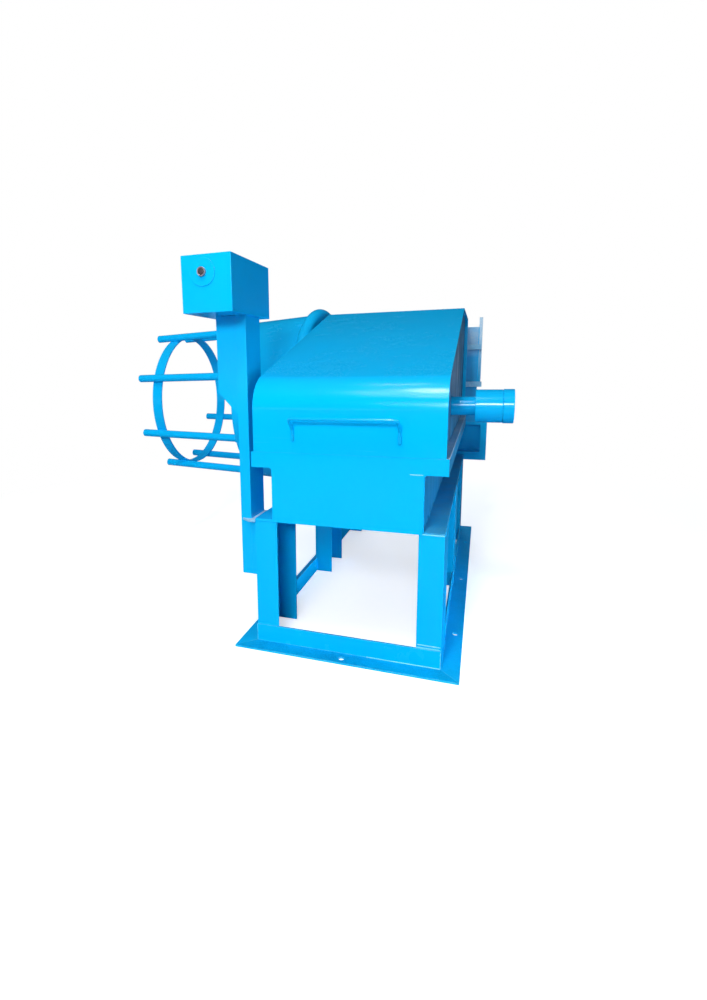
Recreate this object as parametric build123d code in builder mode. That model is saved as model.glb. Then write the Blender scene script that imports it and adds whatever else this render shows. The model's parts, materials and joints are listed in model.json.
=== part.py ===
from build123d import *
from math import asin, atan2, cos, hypot, pi, radians, sin, sqrt, tan
import os

# Horizontal wire drawing machine: a drum with a wire cage beside a hooded gear
# drive on channel legs. Origin on the floor at the centre of the base, +Z up,
# +X towards the drive end of the input shaft, -Y towards the front.

# Base frame
BASE_WIDTH = 675.0
BASE_LENGTH = 1520.0
ANGLE_SIZE = 60.0
ANGLE_THICKNESS = 6.0
ANCHOR_HOLE_RADIUS = 9.0
ANCHOR_ROW_SPACING = 480.0

# Legs, rails, end plates and deck edges
LEG_DEPTH = 177.0
LEG_FLANGE = 71.0
LEG_THICKNESS = 7.0
LEG_HEIGHT = 400.0
MIDDLE_LEG_SHIFT = 13.5
RAIL_HEIGHT = 210.0
RAIL_FLANGE = 66.0
RAIL_THICKNESS = 6.0
APRON_THICKNESS = 6.0
APRON_CORNER = 10.0
EDGE_SIZE = 47.0
EDGE_THICKNESS = 5.0

# Hood
HOOD_SHEET = 3.0
HOOD_SETBACK = 1.0
HOOD_EDGE_GAP = 7.5
HOOD_REAR_GAP = 5.0
HOOD_FRONT_RISE = 200.0
HOOD_SLOPE_GAP = 13.5
HOOD_TOP_GAP = 22.5
HOOD_FRONT_BEND = 100.0
HOOD_TOP_BEND = 40.0
HOOD_SIDE_RECESS = 15.0
SHAFT_OPENING_GAP = 8.0

# Handle on the hood's front
HANDLE_BAR_RADIUS = 4.5
HANDLE_LENGTH = 310.0
HANDLE_SHIFT = 1.0
HANDLE_RISE = 105.0
HANDLE_STANDOFF = 40.0
HANDLE_ARM_DROP = 34.0
HANDLE_FOOT = 35.0

# Column beside the front left leg, its brackets and gusset
COLUMN_WIDTH = 34.5
COLUMN_DEPTH = 106.0
COLUMN_THICKNESS = 5.0
COLUMN_LEG_GAP = 19.0
COLUMN_SETBACK = 20.0
COLUMN_DROP = 183.0
COLUMN_RISE = 403.0
BRACKET_THICKNESS = 6.0
FRONT_PLATE_THICKNESS = 6.0
BRACKET_LOWER_RISE = 29.0
GUSSET_WIDTH = 66.0
GUSSET_HEIGHT = 298.0
GUSSET_EDGE = 228.0
GUSSET_THICKNESS = 6.0
GUSSET_SETBACK = 6.0

# Control box and push button
BOX_WIDTH = 156.5
BOX_DEPTH = 272.0
BOX_HEIGHT = 158.0
BOX_OVERHANG = 6.5
BOX_REACH = 98.0
BUTTON_INSET = 68.5
BUTTON_RISE = 110.0
BUTTON_PLATE_RADIUS = 39.0
BUTTON_PLATE_THICKNESS = 3.0
BEZEL_RADIUS = 13.0
BEZEL_HEIGHT = 8.0
BUTTON_RADIUS = 9.0
BUTTON_GAP = 0.3
BUTTON_TRAVEL = 3.0
BUTTON_LENGTH = 6.5

# Shafts and gears
DRUM_AXIS_Y = 170.0
DRUM_AXIS_RISE = 100.0
INPUT_AXIS_RISE = 113.0
GEAR_MODULE = 12.5
WHEEL_TEETH = 54
PINION_TEETH = 18
GEAR_ADDENDUM = 10.0
GEAR_DEDENDUM = 12.5
GEAR_BACKLASH = 3.0
GEAR_WIDTH = 60.0
GEAR_BEARING_GAP = 46.0
WHEEL_RIM = 32.0
WHEEL_WEB = 16.0
WHEEL_HUB_RADIUS = 75.0
WHEEL_HUB_LENGTH = 90.0
PINION_LENGTH = 80.0
MAIN_SHAFT_RADIUS = 45.0
INPUT_SHAFT_RADIUS = 31.0
RUNNING_GAP = 0.05
SLEEVE_RADIUS = 54.5
SLEEVE_DECK_GAP = 53.5
SLEEVE_LENGTH = 86.0
COLLAR_RADIUS = 56.0
COLLAR_LENGTH = 34.0

# Bearings on the rails
BEARING_WIDTH = 40.0
BEARING_HOOD_GAP = 2.0
BEARING_FOOT_LENGTH = 220.0
BEARING_FOOT_HEIGHT = 20.0
BEARING_WALL = 20.0

# Drum and cage
DRUM_RADIUS = 374.0
DRUM_TAPER = 19.0
DRUM_DECK_GAP = 5.5
DRUM_LENGTH = 313.0
DRUM_WALL = 10.0
DRUM_RIM_RADIUS = 26.0
DRUM_RIM_FLATS = 5
DRUM_DISC = 12.0
DRUM_BACK_INSET = 8.0
CAGE_BARS = 8
CAGE_BAR_RADIUS = 16.0
CAGE_TAPER = 22.0
CAGE_FIRST_ANGLE = 114.7
CAGE_SHORT_BAR = 6
CAGE_LENGTH = 471.0
RING_INSET = 63.5
RING_WIDTH = 45.0
RING_THICKNESS = 8.0
RING_SEAT = 0.5

# Motor stand behind the rear right leg
STAND_REACH = 50.5
STAND_WIDTH = 72.0
STAND_DEPTH = 50.0
STAND_THICKNESS = 5.0
STAND_RISE = 435.0
SHELF_UPPER_RISE = 324.0
SHELF_LOWER_RISE = 140.0
SHELF_UPPER_REACH = 12.0
SHELF_LOWER_REACH = 22.0
SHELF_DEPTH = 20.0
SHELF_LIP = 26.0
FIN_RISE = 481.0
FIN_THICKNESS = 16.0
TRAY_REACH = 107.5
TRAY_WIDTH = 191.0
TRAY_DROP = 20.0
TRAY_HEIGHT = 197.0
TRAY_RIM = 31.0
TRAY_TOP_RIM = 17.0
TRAY_BOTTOM_RIM = 41.0
TRAY_BACK = 6.0

# Places worked out from the sizes above
FRONT = -BASE_LENGTH / 2
REAR = BASE_LENGTH / 2
FACE = ANGLE_SIZE - ANGLE_THICKNESS
FRONT_FACE = FRONT + FACE
REAR_FACE = REAR - FACE
SIDE_FACE = BASE_WIDTH / 2 - FACE
RAIL_TOP = LEG_HEIGHT + RAIL_HEIGHT
RAIL_INNER = SIDE_FACE - RAIL_FLANGE
RAIL_LENGTH = REAR_FACE - FRONT_FACE - 2 * APRON_THICKNESS
DECK_TOP = RAIL_TOP + EDGE_THICKNESS
EDGE_OUTER = SIDE_FACE + EDGE_THICKNESS
EDGE_INNER = EDGE_OUTER - EDGE_SIZE
DRUM_AXIS_HEIGHT = DECK_TOP + DRUM_AXIS_RISE
INPUT_AXIS_HEIGHT = DECK_TOP + INPUT_AXIS_RISE
WHEEL_PITCH = GEAR_MODULE * WHEEL_TEETH / 2
PINION_PITCH = GEAR_MODULE * PINION_TEETH / 2
GEAR_DISTANCE = WHEEL_PITCH + PINION_PITCH
AXIS_RISE = INPUT_AXIS_HEIGHT - DRUM_AXIS_HEIGHT
INPUT_AXIS_Y = DRUM_AXIS_Y - sqrt(GEAR_DISTANCE**2 - AXIS_RISE**2)
SIDES = {"left": -1, "right": 1}

os.makedirs("parts", exist_ok=True)


# Base angles: a flat flange outwards and an upright leg, mitred at the corners
def base_angle(length):
    with BuildPart() as angle:
        with BuildSketch(Plane.YZ):
            Rectangle(ANGLE_SIZE, ANGLE_THICKNESS, align=(Align.MIN, Align.MIN))
            with Locations((FACE, 0)):
                Rectangle(ANGLE_THICKNESS, ANGLE_SIZE, align=(Align.MIN, Align.MIN))
        extrude(amount=length / 2, both=True)
        with BuildSketch(Plane.XY):
            for side in SIDES.values():
                with BuildLine():
                    Polyline(
                        (side * length / 2, 0),
                        (side * (length / 2 - ANGLE_SIZE), ANGLE_SIZE),
                        (side * length / 2, ANGLE_SIZE),
                        close=True,
                    )
                make_face()
        extrude(amount=ANGLE_SIZE, mode=Mode.SUBTRACT)
    return angle.part


# The end legs stand behind the end angles, the side angles stop at the legs' webs
LEG_CENTRE_X = SIDE_FACE - LEG_FLANGE / 2
LEG_ROWS = {
    "front": FRONT_FACE + ANGLE_THICKNESS + LEG_DEPTH / 2,
    "middle": MIDDLE_LEG_SHIFT,
    "rear": REAR_FACE - ANGLE_THICKNESS - LEG_DEPTH / 2,
}
LEG_CENTRES = [(side * LEG_CENTRE_X, y) for side in SIDES.values() for y in LEG_ROWS.values()]
HOLE_X = BASE_WIDTH / 2 - ANGLE_SIZE / 2 + ANGLE_THICKNESS
HOLE_Y = BASE_LENGTH / 2 - ANGLE_SIZE / 2 + ANGLE_THICKNESS
ANCHOR_HOLES = [(side * HOLE_X, row * ANCHOR_ROW_SPACING) for side in SIDES.values() for row in (-1, 0, 1)]
ANCHOR_HOLES += [(0, side * HOLE_Y) for side in SIDES.values()]
BASE_ANGLES = {
    "base_front_angle": (BASE_WIDTH, Location((0, FRONT, 0))),
    "base_rear_angle": (BASE_WIDTH, Location((0, REAR, 0), (0, 0, 180))),
    "base_left_angle": (BASE_LENGTH, Location((-BASE_WIDTH / 2, 0, 0), (0, 0, -90))),
    "base_right_angle": (BASE_LENGTH, Location((BASE_WIDTH / 2, 0, 0), (0, 0, 90))),
}
for name, (length, place) in BASE_ANGLES.items():
    with BuildPart() as angle:
        add(base_angle(length).moved(place))
        with BuildSketch(Plane.XY):
            with Locations(*LEG_CENTRES):
                Rectangle(LEG_FLANGE, LEG_DEPTH)
        extrude(amount=ANGLE_SIZE, mode=Mode.SUBTRACT)
        with BuildSketch(Plane.XY):
            with Locations(*ANCHOR_HOLES):
                Circle(ANCHOR_HOLE_RADIUS)
        extrude(amount=ANGLE_THICKNESS, mode=Mode.SUBTRACT)
    angle.part.label = name
    export_step(angle.part, f"parts/{name}.step")

# Legs: channels with the web outwards and the flanges pointing in
LEG_HOLLOW = LEG_FLANGE - LEG_THICKNESS
for row, y in LEG_ROWS.items():
    for side_name, side in SIDES.items():
        with BuildPart() as leg:
            with BuildSketch(Plane.XY):
                with Locations((side * LEG_CENTRE_X, y)):
                    Rectangle(LEG_FLANGE, LEG_DEPTH)
                with Locations((side * (LEG_CENTRE_X - LEG_THICKNESS / 2), y)):
                    Rectangle(LEG_HOLLOW, LEG_DEPTH - 2 * LEG_THICKNESS, mode=Mode.SUBTRACT)
            extrude(amount=LEG_HEIGHT)
        leg.part.label = f"leg_{row}_{side_name}"
        export_step(leg.part, f"parts/leg_{row}_{side_name}.step")

# Side rails: channels on the legs, flanges outwards, between the end plates
RAIL_HOLLOW = RAIL_FLANGE - RAIL_THICKNESS
RAIL_CENTRE_X = RAIL_INNER + RAIL_FLANGE / 2
for side_name, side in SIDES.items():
    with BuildPart() as rail:
        with BuildSketch(Plane.XZ):
            with Locations((side * RAIL_CENTRE_X, LEG_HEIGHT + RAIL_HEIGHT / 2)):
                Rectangle(RAIL_FLANGE, RAIL_HEIGHT)
            with Locations((side * (RAIL_CENTRE_X + RAIL_THICKNESS / 2), LEG_HEIGHT + RAIL_HEIGHT / 2)):
                Rectangle(RAIL_HOLLOW, RAIL_HEIGHT - 2 * RAIL_THICKNESS, mode=Mode.SUBTRACT)
        extrude(amount=RAIL_LENGTH / 2, both=True)
    rail.part.label = f"side_rail_{side_name}"
    export_step(rail.part, f"parts/side_rail_{side_name}.step")

# End plates: T-shaped, the crossbar as wide as the deck and the web between the rails
APRON_HALF_WIDTH = RAIL_INNER + RAIL_THICKNESS
for name, y in {"front_apron": FRONT_FACE, "rear_apron": REAR_FACE - APRON_THICKNESS}.items():
    with BuildPart() as apron:
        with BuildSketch(Plane.XZ.offset(-y)) as outline:
            with Locations((0, DECK_TOP)):
                Rectangle(2 * EDGE_OUTER, EDGE_SIZE, align=(Align.CENTER, Align.MAX))
            with Locations((0, LEG_HEIGHT)):
                Rectangle(2 * APRON_HALF_WIDTH, RAIL_HEIGHT, align=(Align.CENTER, Align.MIN))
            inner_corners = outline.vertices().group_by(Axis.Y)[1].sort_by(Axis.X)[1:-1]
            fillet(inner_corners, radius=APRON_CORNER)
        extrude(amount=-APRON_THICKNESS)
    apron.part.label = name
    export_step(apron.part, f"parts/{name}.step")

# Deck edges: angles on the rails' top flanges with the skirt hanging outside
for side_name, side in SIDES.items():
    with BuildPart() as edge:
        with BuildSketch(Plane.XZ):
            with Locations((side * (EDGE_OUTER - EDGE_SIZE / 2), DECK_TOP - EDGE_THICKNESS / 2)):
                Rectangle(EDGE_SIZE, EDGE_THICKNESS)
            with Locations((side * (EDGE_OUTER - EDGE_THICKNESS / 2), DECK_TOP - EDGE_SIZE / 2)):
                Rectangle(EDGE_THICKNESS, EDGE_SIZE)
        extrude(amount=RAIL_LENGTH / 2, both=True)
    edge.part.label = f"deck_edge_{side_name}"
    export_step(edge.part, f"parts/deck_edge_{side_name}.step")

# Hood: one bent sheet, with the two side plates set in from its edges. The slope
# rises from the front corner just clear of the gear wheel's tips.
HOOD_HALF_WIDTH = EDGE_OUTER - HOOD_EDGE_GAP
HOOD_FRONT = FRONT_FACE + HOOD_SETBACK
HOOD_REAR = REAR_FACE - SHELF_DEPTH - HOOD_REAR_GAP
HOOD_CORNER_HEIGHT = DECK_TOP + HOOD_FRONT_RISE
WHEEL_TIP = WHEEL_PITCH + GEAR_ADDENDUM
HOOD_TOP = DRUM_AXIS_HEIGHT + WHEEL_TIP + HOOD_TOP_GAP + HOOD_SHEET
CORNER_RUN = DRUM_AXIS_Y - HOOD_FRONT
CORNER_RISE = DRUM_AXIS_HEIGHT - HOOD_CORNER_HEIGHT
SLOPE_CLEARANCE = WHEEL_TIP + HOOD_SHEET + HOOD_SLOPE_GAP
SLOPE_ANGLE = atan2(CORNER_RISE, CORNER_RUN) + asin(SLOPE_CLEARANCE / hypot(CORNER_RUN, CORNER_RISE))
HOOD_SLOPE_END = HOOD_FRONT + (HOOD_TOP - HOOD_CORNER_HEIGHT) / tan(SLOPE_ANGLE)
HOOD_MIDDLE = (HOOD_FRONT + HOOD_REAR) / 2
HOOD_INSIDE = HOOD_REAR - HOOD_FRONT - 2 * HOOD_SHEET
HOOD_SIDE_OUTER = HOOD_HALF_WIDTH - HOOD_SIDE_RECESS
HOOD_SIDE_INNER = HOOD_SIDE_OUTER - HOOD_SHEET


def hood_outline(plane, inset):
    with BuildSketch(plane) as outline:
        with BuildLine():
            Polyline(
                (HOOD_FRONT, DECK_TOP),
                (HOOD_FRONT, HOOD_CORNER_HEIGHT),
                (HOOD_SLOPE_END, HOOD_TOP),
                (HOOD_REAR, HOOD_TOP),
                (HOOD_REAR, DECK_TOP),
                close=True,
            )
        make_face()
        fillet(outline.vertices().group_by(Axis.X)[0].sort_by(Axis.Y)[-1], radius=HOOD_FRONT_BEND)
        fillet(outline.vertices().group_by(Axis.Y)[-1], radius=HOOD_TOP_BEND)
        if inset:
            offset(amount=-inset, mode=Mode.REPLACE)
            with Locations((HOOD_MIDDLE, DECK_TOP)):
                Rectangle(HOOD_INSIDE, 2 * inset, align=(Align.CENTER, Align.MIN))
    return outline.sketch


with BuildPart() as hood_shell:
    extrude(hood_outline(Plane.YZ, 0), amount=HOOD_HALF_WIDTH, both=True)
    extrude(hood_outline(Plane.YZ, HOOD_SHEET), amount=HOOD_HALF_WIDTH, both=True, mode=Mode.SUBTRACT)
hood_shell.part.label = "hood_shell"
export_step(hood_shell.part, "parts/hood_shell.step")

SHAFTS = {
    "main": (MAIN_SHAFT_RADIUS, DRUM_AXIS_Y, DRUM_AXIS_HEIGHT),
    "input": (INPUT_SHAFT_RADIUS, INPUT_AXIS_Y, INPUT_AXIS_HEIGHT),
}
for side_name, shaft_name, left_face in (("left", "main", -HOOD_SIDE_OUTER), ("right", "input", HOOD_SIDE_INNER)):
    radius, shaft_y, shaft_z = SHAFTS[shaft_name]
    plane = Plane.YZ.offset(left_face)
    with BuildPart() as side_plate:
        extrude(hood_outline(plane, HOOD_SHEET), amount=HOOD_SHEET)
        with BuildSketch(plane):
            with Locations((shaft_y, shaft_z)):
                Circle(radius + SHAFT_OPENING_GAP)
        extrude(amount=HOOD_SHEET, mode=Mode.SUBTRACT)
    side_plate.part.label = f"hood_side_{side_name}"
    export_step(side_plate.part, f"parts/hood_side_{side_name}.step")

# Handle: a round bar bent to both feet, which lie flat on the hood's front
HANDLE_FOOT_Y = HOOD_FRONT - HANDLE_BAR_RADIUS
HANDLE_BAR_Y = HOOD_FRONT - HANDLE_STANDOFF
HANDLE_HEIGHT = DECK_TOP + HANDLE_RISE
HANDLE_ARM_END = HANDLE_HEIGHT - HANDLE_ARM_DROP
HANDLE_LEFT = HANDLE_SHIFT - HANDLE_LENGTH / 2
HANDLE_RIGHT = HANDLE_SHIFT + HANDLE_LENGTH / 2
with BuildPart() as hood_handle:
    with BuildLine() as handle_path:
        Polyline(
            (HANDLE_LEFT, HANDLE_FOOT_Y, HANDLE_ARM_END - HANDLE_FOOT),
            (HANDLE_LEFT, HANDLE_FOOT_Y, HANDLE_ARM_END),
            (HANDLE_LEFT, HANDLE_BAR_Y, HANDLE_HEIGHT),
            (HANDLE_RIGHT, HANDLE_BAR_Y, HANDLE_HEIGHT),
            (HANDLE_RIGHT, HANDLE_FOOT_Y, HANDLE_ARM_END),
            (HANDLE_RIGHT, HANDLE_FOOT_Y, HANDLE_ARM_END - HANDLE_FOOT),
        )
    with BuildSketch(Plane.XY.offset(HANDLE_ARM_END - HANDLE_FOOT)):
        with Locations((HANDLE_LEFT, HANDLE_FOOT_Y)):
            Circle(HANDLE_BAR_RADIUS)
    sweep(path=handle_path.line, transition=Transition.RIGHT)
hood_handle.part.label = "hood_handle"
export_step(hood_handle.part, "parts/hood_handle.step")

# Column: a channel beside the front left leg, with the flanges to the left
COLUMN_RIGHT = -SIDE_FACE - COLUMN_LEG_GAP
COLUMN_LEFT = COLUMN_RIGHT - COLUMN_WIDTH
COLUMN_FRONT = FRONT_FACE + COLUMN_SETBACK
COLUMN_BACK = COLUMN_FRONT + COLUMN_DEPTH
COLUMN_BOTTOM = LEG_HEIGHT - COLUMN_DROP
COLUMN_TOP = DECK_TOP + COLUMN_RISE
COLUMN_MIDDLE_X = (COLUMN_LEFT + COLUMN_RIGHT) / 2
COLUMN_MIDDLE_Y = (COLUMN_FRONT + COLUMN_BACK) / 2
with BuildPart() as control_column:
    with BuildSketch(Plane.XY.offset(COLUMN_BOTTOM)):
        with Locations((COLUMN_MIDDLE_X, COLUMN_MIDDLE_Y)):
            Rectangle(COLUMN_WIDTH, COLUMN_DEPTH)
        with Locations((COLUMN_MIDDLE_X - COLUMN_THICKNESS, COLUMN_MIDDLE_Y)):
            Rectangle(COLUMN_WIDTH, COLUMN_DEPTH - 2 * COLUMN_THICKNESS, mode=Mode.SUBTRACT)
    extrude(amount=COLUMN_TOP - COLUMN_BOTTOM)
control_column.part.label = "control_column"
export_step(control_column.part, "parts/control_column.step")

# Front plate: closes the gap between the column and the leg up to the upper bracket
BRACKET_BOTTOM = LEG_HEIGHT - BRACKET_THICKNESS
with BuildPart() as column_front_plate:
    with Locations((COLUMN_RIGHT, COLUMN_FRONT, COLUMN_BOTTOM)):
        Box(
            COLUMN_LEG_GAP,
            FRONT_PLATE_THICKNESS,
            BRACKET_BOTTOM - COLUMN_BOTTOM,
            align=(Align.MIN, Align.MIN, Align.MIN),
        )
column_front_plate.part.label = "column_front_plate"
export_step(column_front_plate.part, "parts/column_front_plate.step")

# Brackets between the column and the leg; the upper one covers the front plate and
# shows its tip in front, the lower one starts behind the plate
BRACKET_TIP = COLUMN_WIDTH - COLUMN_THICKNESS
for name, height, front, has_tip in (
    ("column_upper_bracket", BRACKET_BOTTOM, FRONT_FACE, True),
    ("column_lower_bracket", COLUMN_BOTTOM + BRACKET_LOWER_RISE, COLUMN_FRONT + FRONT_PLATE_THICKNESS, False),
):
    with BuildPart() as bracket:
        with BuildSketch(Plane.XY.offset(height)):
            with Locations((COLUMN_RIGHT, front)):
                Rectangle(COLUMN_LEG_GAP, COLUMN_BACK - front, align=(Align.MIN, Align.MIN))
            if has_tip:
                with BuildLine():
                    Polyline(
                        (COLUMN_RIGHT, FRONT_FACE),
                        (COLUMN_RIGHT, COLUMN_FRONT),
                        (COLUMN_RIGHT - BRACKET_TIP, COLUMN_FRONT),
                        close=True,
                    )
                make_face()
        extrude(amount=BRACKET_THICKNESS)
    bracket.part.label = name
    export_step(bracket.part, f"parts/{name}.step")

# Gusset: a plate on the column's left, under the control box
with BuildPart() as column_gusset:
    with BuildSketch(Plane.XZ.offset(-COLUMN_FRONT - GUSSET_SETBACK)):
        with BuildLine():
            Polyline(
                (COLUMN_LEFT, COLUMN_TOP),
                (COLUMN_LEFT - GUSSET_WIDTH, COLUMN_TOP),
                (COLUMN_LEFT - GUSSET_WIDTH, COLUMN_TOP - GUSSET_EDGE),
                (COLUMN_LEFT, COLUMN_TOP - GUSSET_HEIGHT),
                close=True,
            )
        make_face()
    extrude(amount=-GUSSET_THICKNESS)
column_gusset.part.label = "column_gusset"
export_step(column_gusset.part, "parts/column_gusset.step")

# Control box with a round plate and a push button on its front
BOX_RIGHT = COLUMN_RIGHT + BOX_OVERHANG
BOX_FRONT = COLUMN_FRONT - BOX_REACH
with BuildPart() as control_box:
    with Locations((BOX_RIGHT, BOX_FRONT, COLUMN_TOP)):
        Box(BOX_WIDTH, BOX_DEPTH, BOX_HEIGHT, align=(Align.MAX, Align.MIN, Align.MIN))
control_box.part.label = "control_box"
export_step(control_box.part, "parts/control_box.step")

BUTTON_X = BOX_RIGHT - BOX_WIDTH + BUTTON_INSET
BUTTON_HEIGHT = COLUMN_TOP + BUTTON_RISE
with BuildPart() as button_plate:
    with BuildSketch(Plane.XZ.offset(-BOX_FRONT)):
        with Locations((BUTTON_X, BUTTON_HEIGHT)):
            Circle(BUTTON_PLATE_RADIUS)
    extrude(amount=BUTTON_PLATE_THICKNESS)
button_plate.part.label = "button_plate"
export_step(button_plate.part, "parts/button_plate.step")

BUTTON_BACK = BOX_FRONT - BUTTON_PLATE_THICKNESS
with BuildPart() as button_bezel:
    with BuildSketch(Plane.XZ.offset(-BUTTON_BACK)):
        with Locations((BUTTON_X, BUTTON_HEIGHT)):
            Circle(BEZEL_RADIUS)
            Circle(BUTTON_RADIUS + BUTTON_GAP, mode=Mode.SUBTRACT)
    extrude(amount=BEZEL_HEIGHT)
button_bezel.part.label = "button_bezel"
export_step(button_bezel.part, "parts/button_bezel.step")

# The button's own bottom stays clear of the plate by its travel
BUTTON_BOTTOM = BUTTON_BACK - BUTTON_TRAVEL - BUTTON_GAP
with BuildPart() as push_button:
    with BuildSketch(Plane.XZ.offset(-BUTTON_BOTTOM)):
        with Locations((BUTTON_X, BUTTON_HEIGHT)):
            Circle(BUTTON_RADIUS)
    extrude(amount=BUTTON_LENGTH)
push_button.part.label = "push_button"
export_step(push_button.part, "parts/push_button.step")

# Bearings: a foot on the deck edge, packed up from the rail, and an octagonal head
BEARING_OUTER = HOOD_SIDE_INNER - BEARING_HOOD_GAP
BEARING_INNER = BEARING_OUTER - BEARING_WIDTH
for shaft_name, (radius, shaft_y, shaft_z) in SHAFTS.items():
    head = radius + BEARING_WALL
    head_flat = head * tan(radians(22.5))
    for side_name, side in SIDES.items():
        with BuildPart() as bearing:
            with BuildSketch(Plane.YZ.offset(side * BEARING_INNER)):
                with BuildLine():
                    Polyline(
                        (shaft_y - head, DECK_TOP),
                        (shaft_y - head, shaft_z + head_flat),
                        (shaft_y - head_flat, shaft_z + head),
                        (shaft_y + head_flat, shaft_z + head),
                        (shaft_y + head, shaft_z + head_flat),
                        (shaft_y + head, DECK_TOP),
                        close=True,
                    )
                make_face()
                with Locations((shaft_y, DECK_TOP)):
                    Rectangle(BEARING_FOOT_LENGTH, BEARING_FOOT_HEIGHT, align=(Align.CENTER, Align.MIN))
                with Locations((shaft_y, shaft_z)):
                    Circle(radius + RUNNING_GAP, mode=Mode.SUBTRACT)
            extrude(amount=side * BEARING_WIDTH)
            with Locations((side * (BEARING_INNER + EDGE_INNER) / 2, shaft_y, RAIL_TOP)):
                Box(
                    EDGE_INNER - BEARING_INNER,
                    BEARING_FOOT_LENGTH,
                    EDGE_THICKNESS,
                    align=(Align.CENTER, Align.CENTER, Align.MIN),
                )
        bearing.part.label = f"{shaft_name}_bearing_{side_name}"
        export_step(bearing.part, f"parts/{shaft_name}_bearing_{side_name}.step")

# Shafts, from the drum's face and the far bearing to the drive end
DRUM_RIGHT = -EDGE_OUTER - DRUM_DECK_GAP
DRUM_LEFT = DRUM_RIGHT - DRUM_LENGTH
SLEEVE_START = EDGE_OUTER + SLEEVE_DECK_GAP
SLEEVE_END = SLEEVE_START + SLEEVE_LENGTH
with BuildPart() as main_shaft:
    with BuildSketch(Plane.YZ.offset(DRUM_LEFT)):
        with Locations((DRUM_AXIS_Y, DRUM_AXIS_HEIGHT)):
            Circle(MAIN_SHAFT_RADIUS)
    extrude(amount=BEARING_OUTER - DRUM_LEFT)
main_shaft.part.label = "main_shaft"
export_step(main_shaft.part, "parts/main_shaft.step")

with BuildPart() as input_shaft:
    with BuildSketch(Plane.YZ.offset(-BEARING_OUTER)):
        with Locations((INPUT_AXIS_Y, INPUT_AXIS_HEIGHT)):
            Circle(INPUT_SHAFT_RADIUS)
    extrude(amount=BEARING_OUTER + SLEEVE_END)
input_shaft.part.label = "input_shaft"
export_step(input_shaft.part, "parts/input_shaft.step")

with BuildPart() as shaft_sleeve:
    with BuildSketch(Plane.YZ.offset(SLEEVE_START)):
        with Locations((INPUT_AXIS_Y, INPUT_AXIS_HEIGHT)):
            Circle(SLEEVE_RADIUS)
            Circle(INPUT_SHAFT_RADIUS, mode=Mode.SUBTRACT)
    extrude(amount=SLEEVE_LENGTH)
shaft_sleeve.part.label = "shaft_sleeve"
export_step(shaft_sleeve.part, "parts/shaft_sleeve.step")

# The end collar closes the sleeve and the shaft's end
with BuildPart() as sleeve_collar:
    with BuildSketch(Plane.YZ.offset(SLEEVE_END)):
        with Locations((INPUT_AXIS_Y, INPUT_AXIS_HEIGHT)):
            Circle(COLLAR_RADIUS)
    extrude(amount=COLLAR_LENGTH)
sleeve_collar.part.label = "sleeve_collar"
export_step(sleeve_collar.part, "parts/sleeve_collar.step")

# Gears: stub teeth with straight sides
PRESSURE_ANGLE = radians(20)
GEAR_CENTRE_X = BEARING_INNER - GEAR_BEARING_GAP - WHEEL_HUB_LENGTH / 2


def gear_outline(teeth, first_angle):
    """Corner points of a toothed disc whose first tooth points along first_angle."""
    pitch_radius = GEAR_MODULE * teeth / 2
    tip_radius = pitch_radius + GEAR_ADDENDUM
    root_radius = pitch_radius - GEAR_DEDENDUM
    half_width = (pi * GEAR_MODULE / 2 - GEAR_BACKLASH) / 2
    tip_half = (half_width - GEAR_ADDENDUM * tan(PRESSURE_ANGLE)) / tip_radius
    root_half = (half_width + GEAR_DEDENDUM * tan(PRESSURE_ANGLE)) / root_radius
    corners = []
    for tooth in range(teeth):
        middle = first_angle + tooth * 2 * pi / teeth
        for radius, angle in (
            (root_radius, middle - root_half),
            (tip_radius, middle - tip_half),
            (tip_radius, middle + tip_half),
            (root_radius, middle + root_half),
        ):
            corners.append((radius * cos(angle), radius * sin(angle)))
    return corners


def gear_plane(shaft_y, shaft_z, shift):
    """Plane square to a shaft, moved along it by shift from the gears' middle."""
    return Plane(origin=(GEAR_CENTRE_X + shift, shaft_y, shaft_z), x_dir=(0, 1, 0), z_dir=(1, 0, 0))


# A tooth of the wheel points at the pinion, and the pinion turns a gap to it
LINE_ANGLE = asin(AXIS_RISE / GEAR_DISTANCE)
WHEEL_FIRST = pi - LINE_ANGLE
PINION_FIRST = -LINE_ANGLE + pi / PINION_TEETH
WHEEL_INSIDE = WHEEL_PITCH - GEAR_DEDENDUM - WHEEL_RIM
WHEEL_POCKET = (GEAR_WIDTH - WHEEL_WEB) / 2
with BuildPart() as main_gear:
    with BuildSketch(gear_plane(DRUM_AXIS_Y, DRUM_AXIS_HEIGHT, -GEAR_WIDTH / 2)):
        with BuildLine():
            Polyline(*gear_outline(WHEEL_TEETH, WHEEL_FIRST), close=True)
        make_face()
    extrude(amount=GEAR_WIDTH)
    for side in SIDES.values():
        with BuildSketch(gear_plane(DRUM_AXIS_Y, DRUM_AXIS_HEIGHT, side * WHEEL_WEB / 2)):
            Circle(WHEEL_INSIDE)
        extrude(amount=side * WHEEL_POCKET, mode=Mode.SUBTRACT)
    with BuildSketch(gear_plane(DRUM_AXIS_Y, DRUM_AXIS_HEIGHT, -WHEEL_HUB_LENGTH / 2)):
        Circle(WHEEL_HUB_RADIUS)
    extrude(amount=WHEEL_HUB_LENGTH)
    with BuildSketch(gear_plane(DRUM_AXIS_Y, DRUM_AXIS_HEIGHT, -WHEEL_HUB_LENGTH / 2)):
        Circle(MAIN_SHAFT_RADIUS)
    extrude(amount=WHEEL_HUB_LENGTH, mode=Mode.SUBTRACT)
main_gear.part.label = "main_gear"
export_step(main_gear.part, "parts/main_gear.step")

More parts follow.
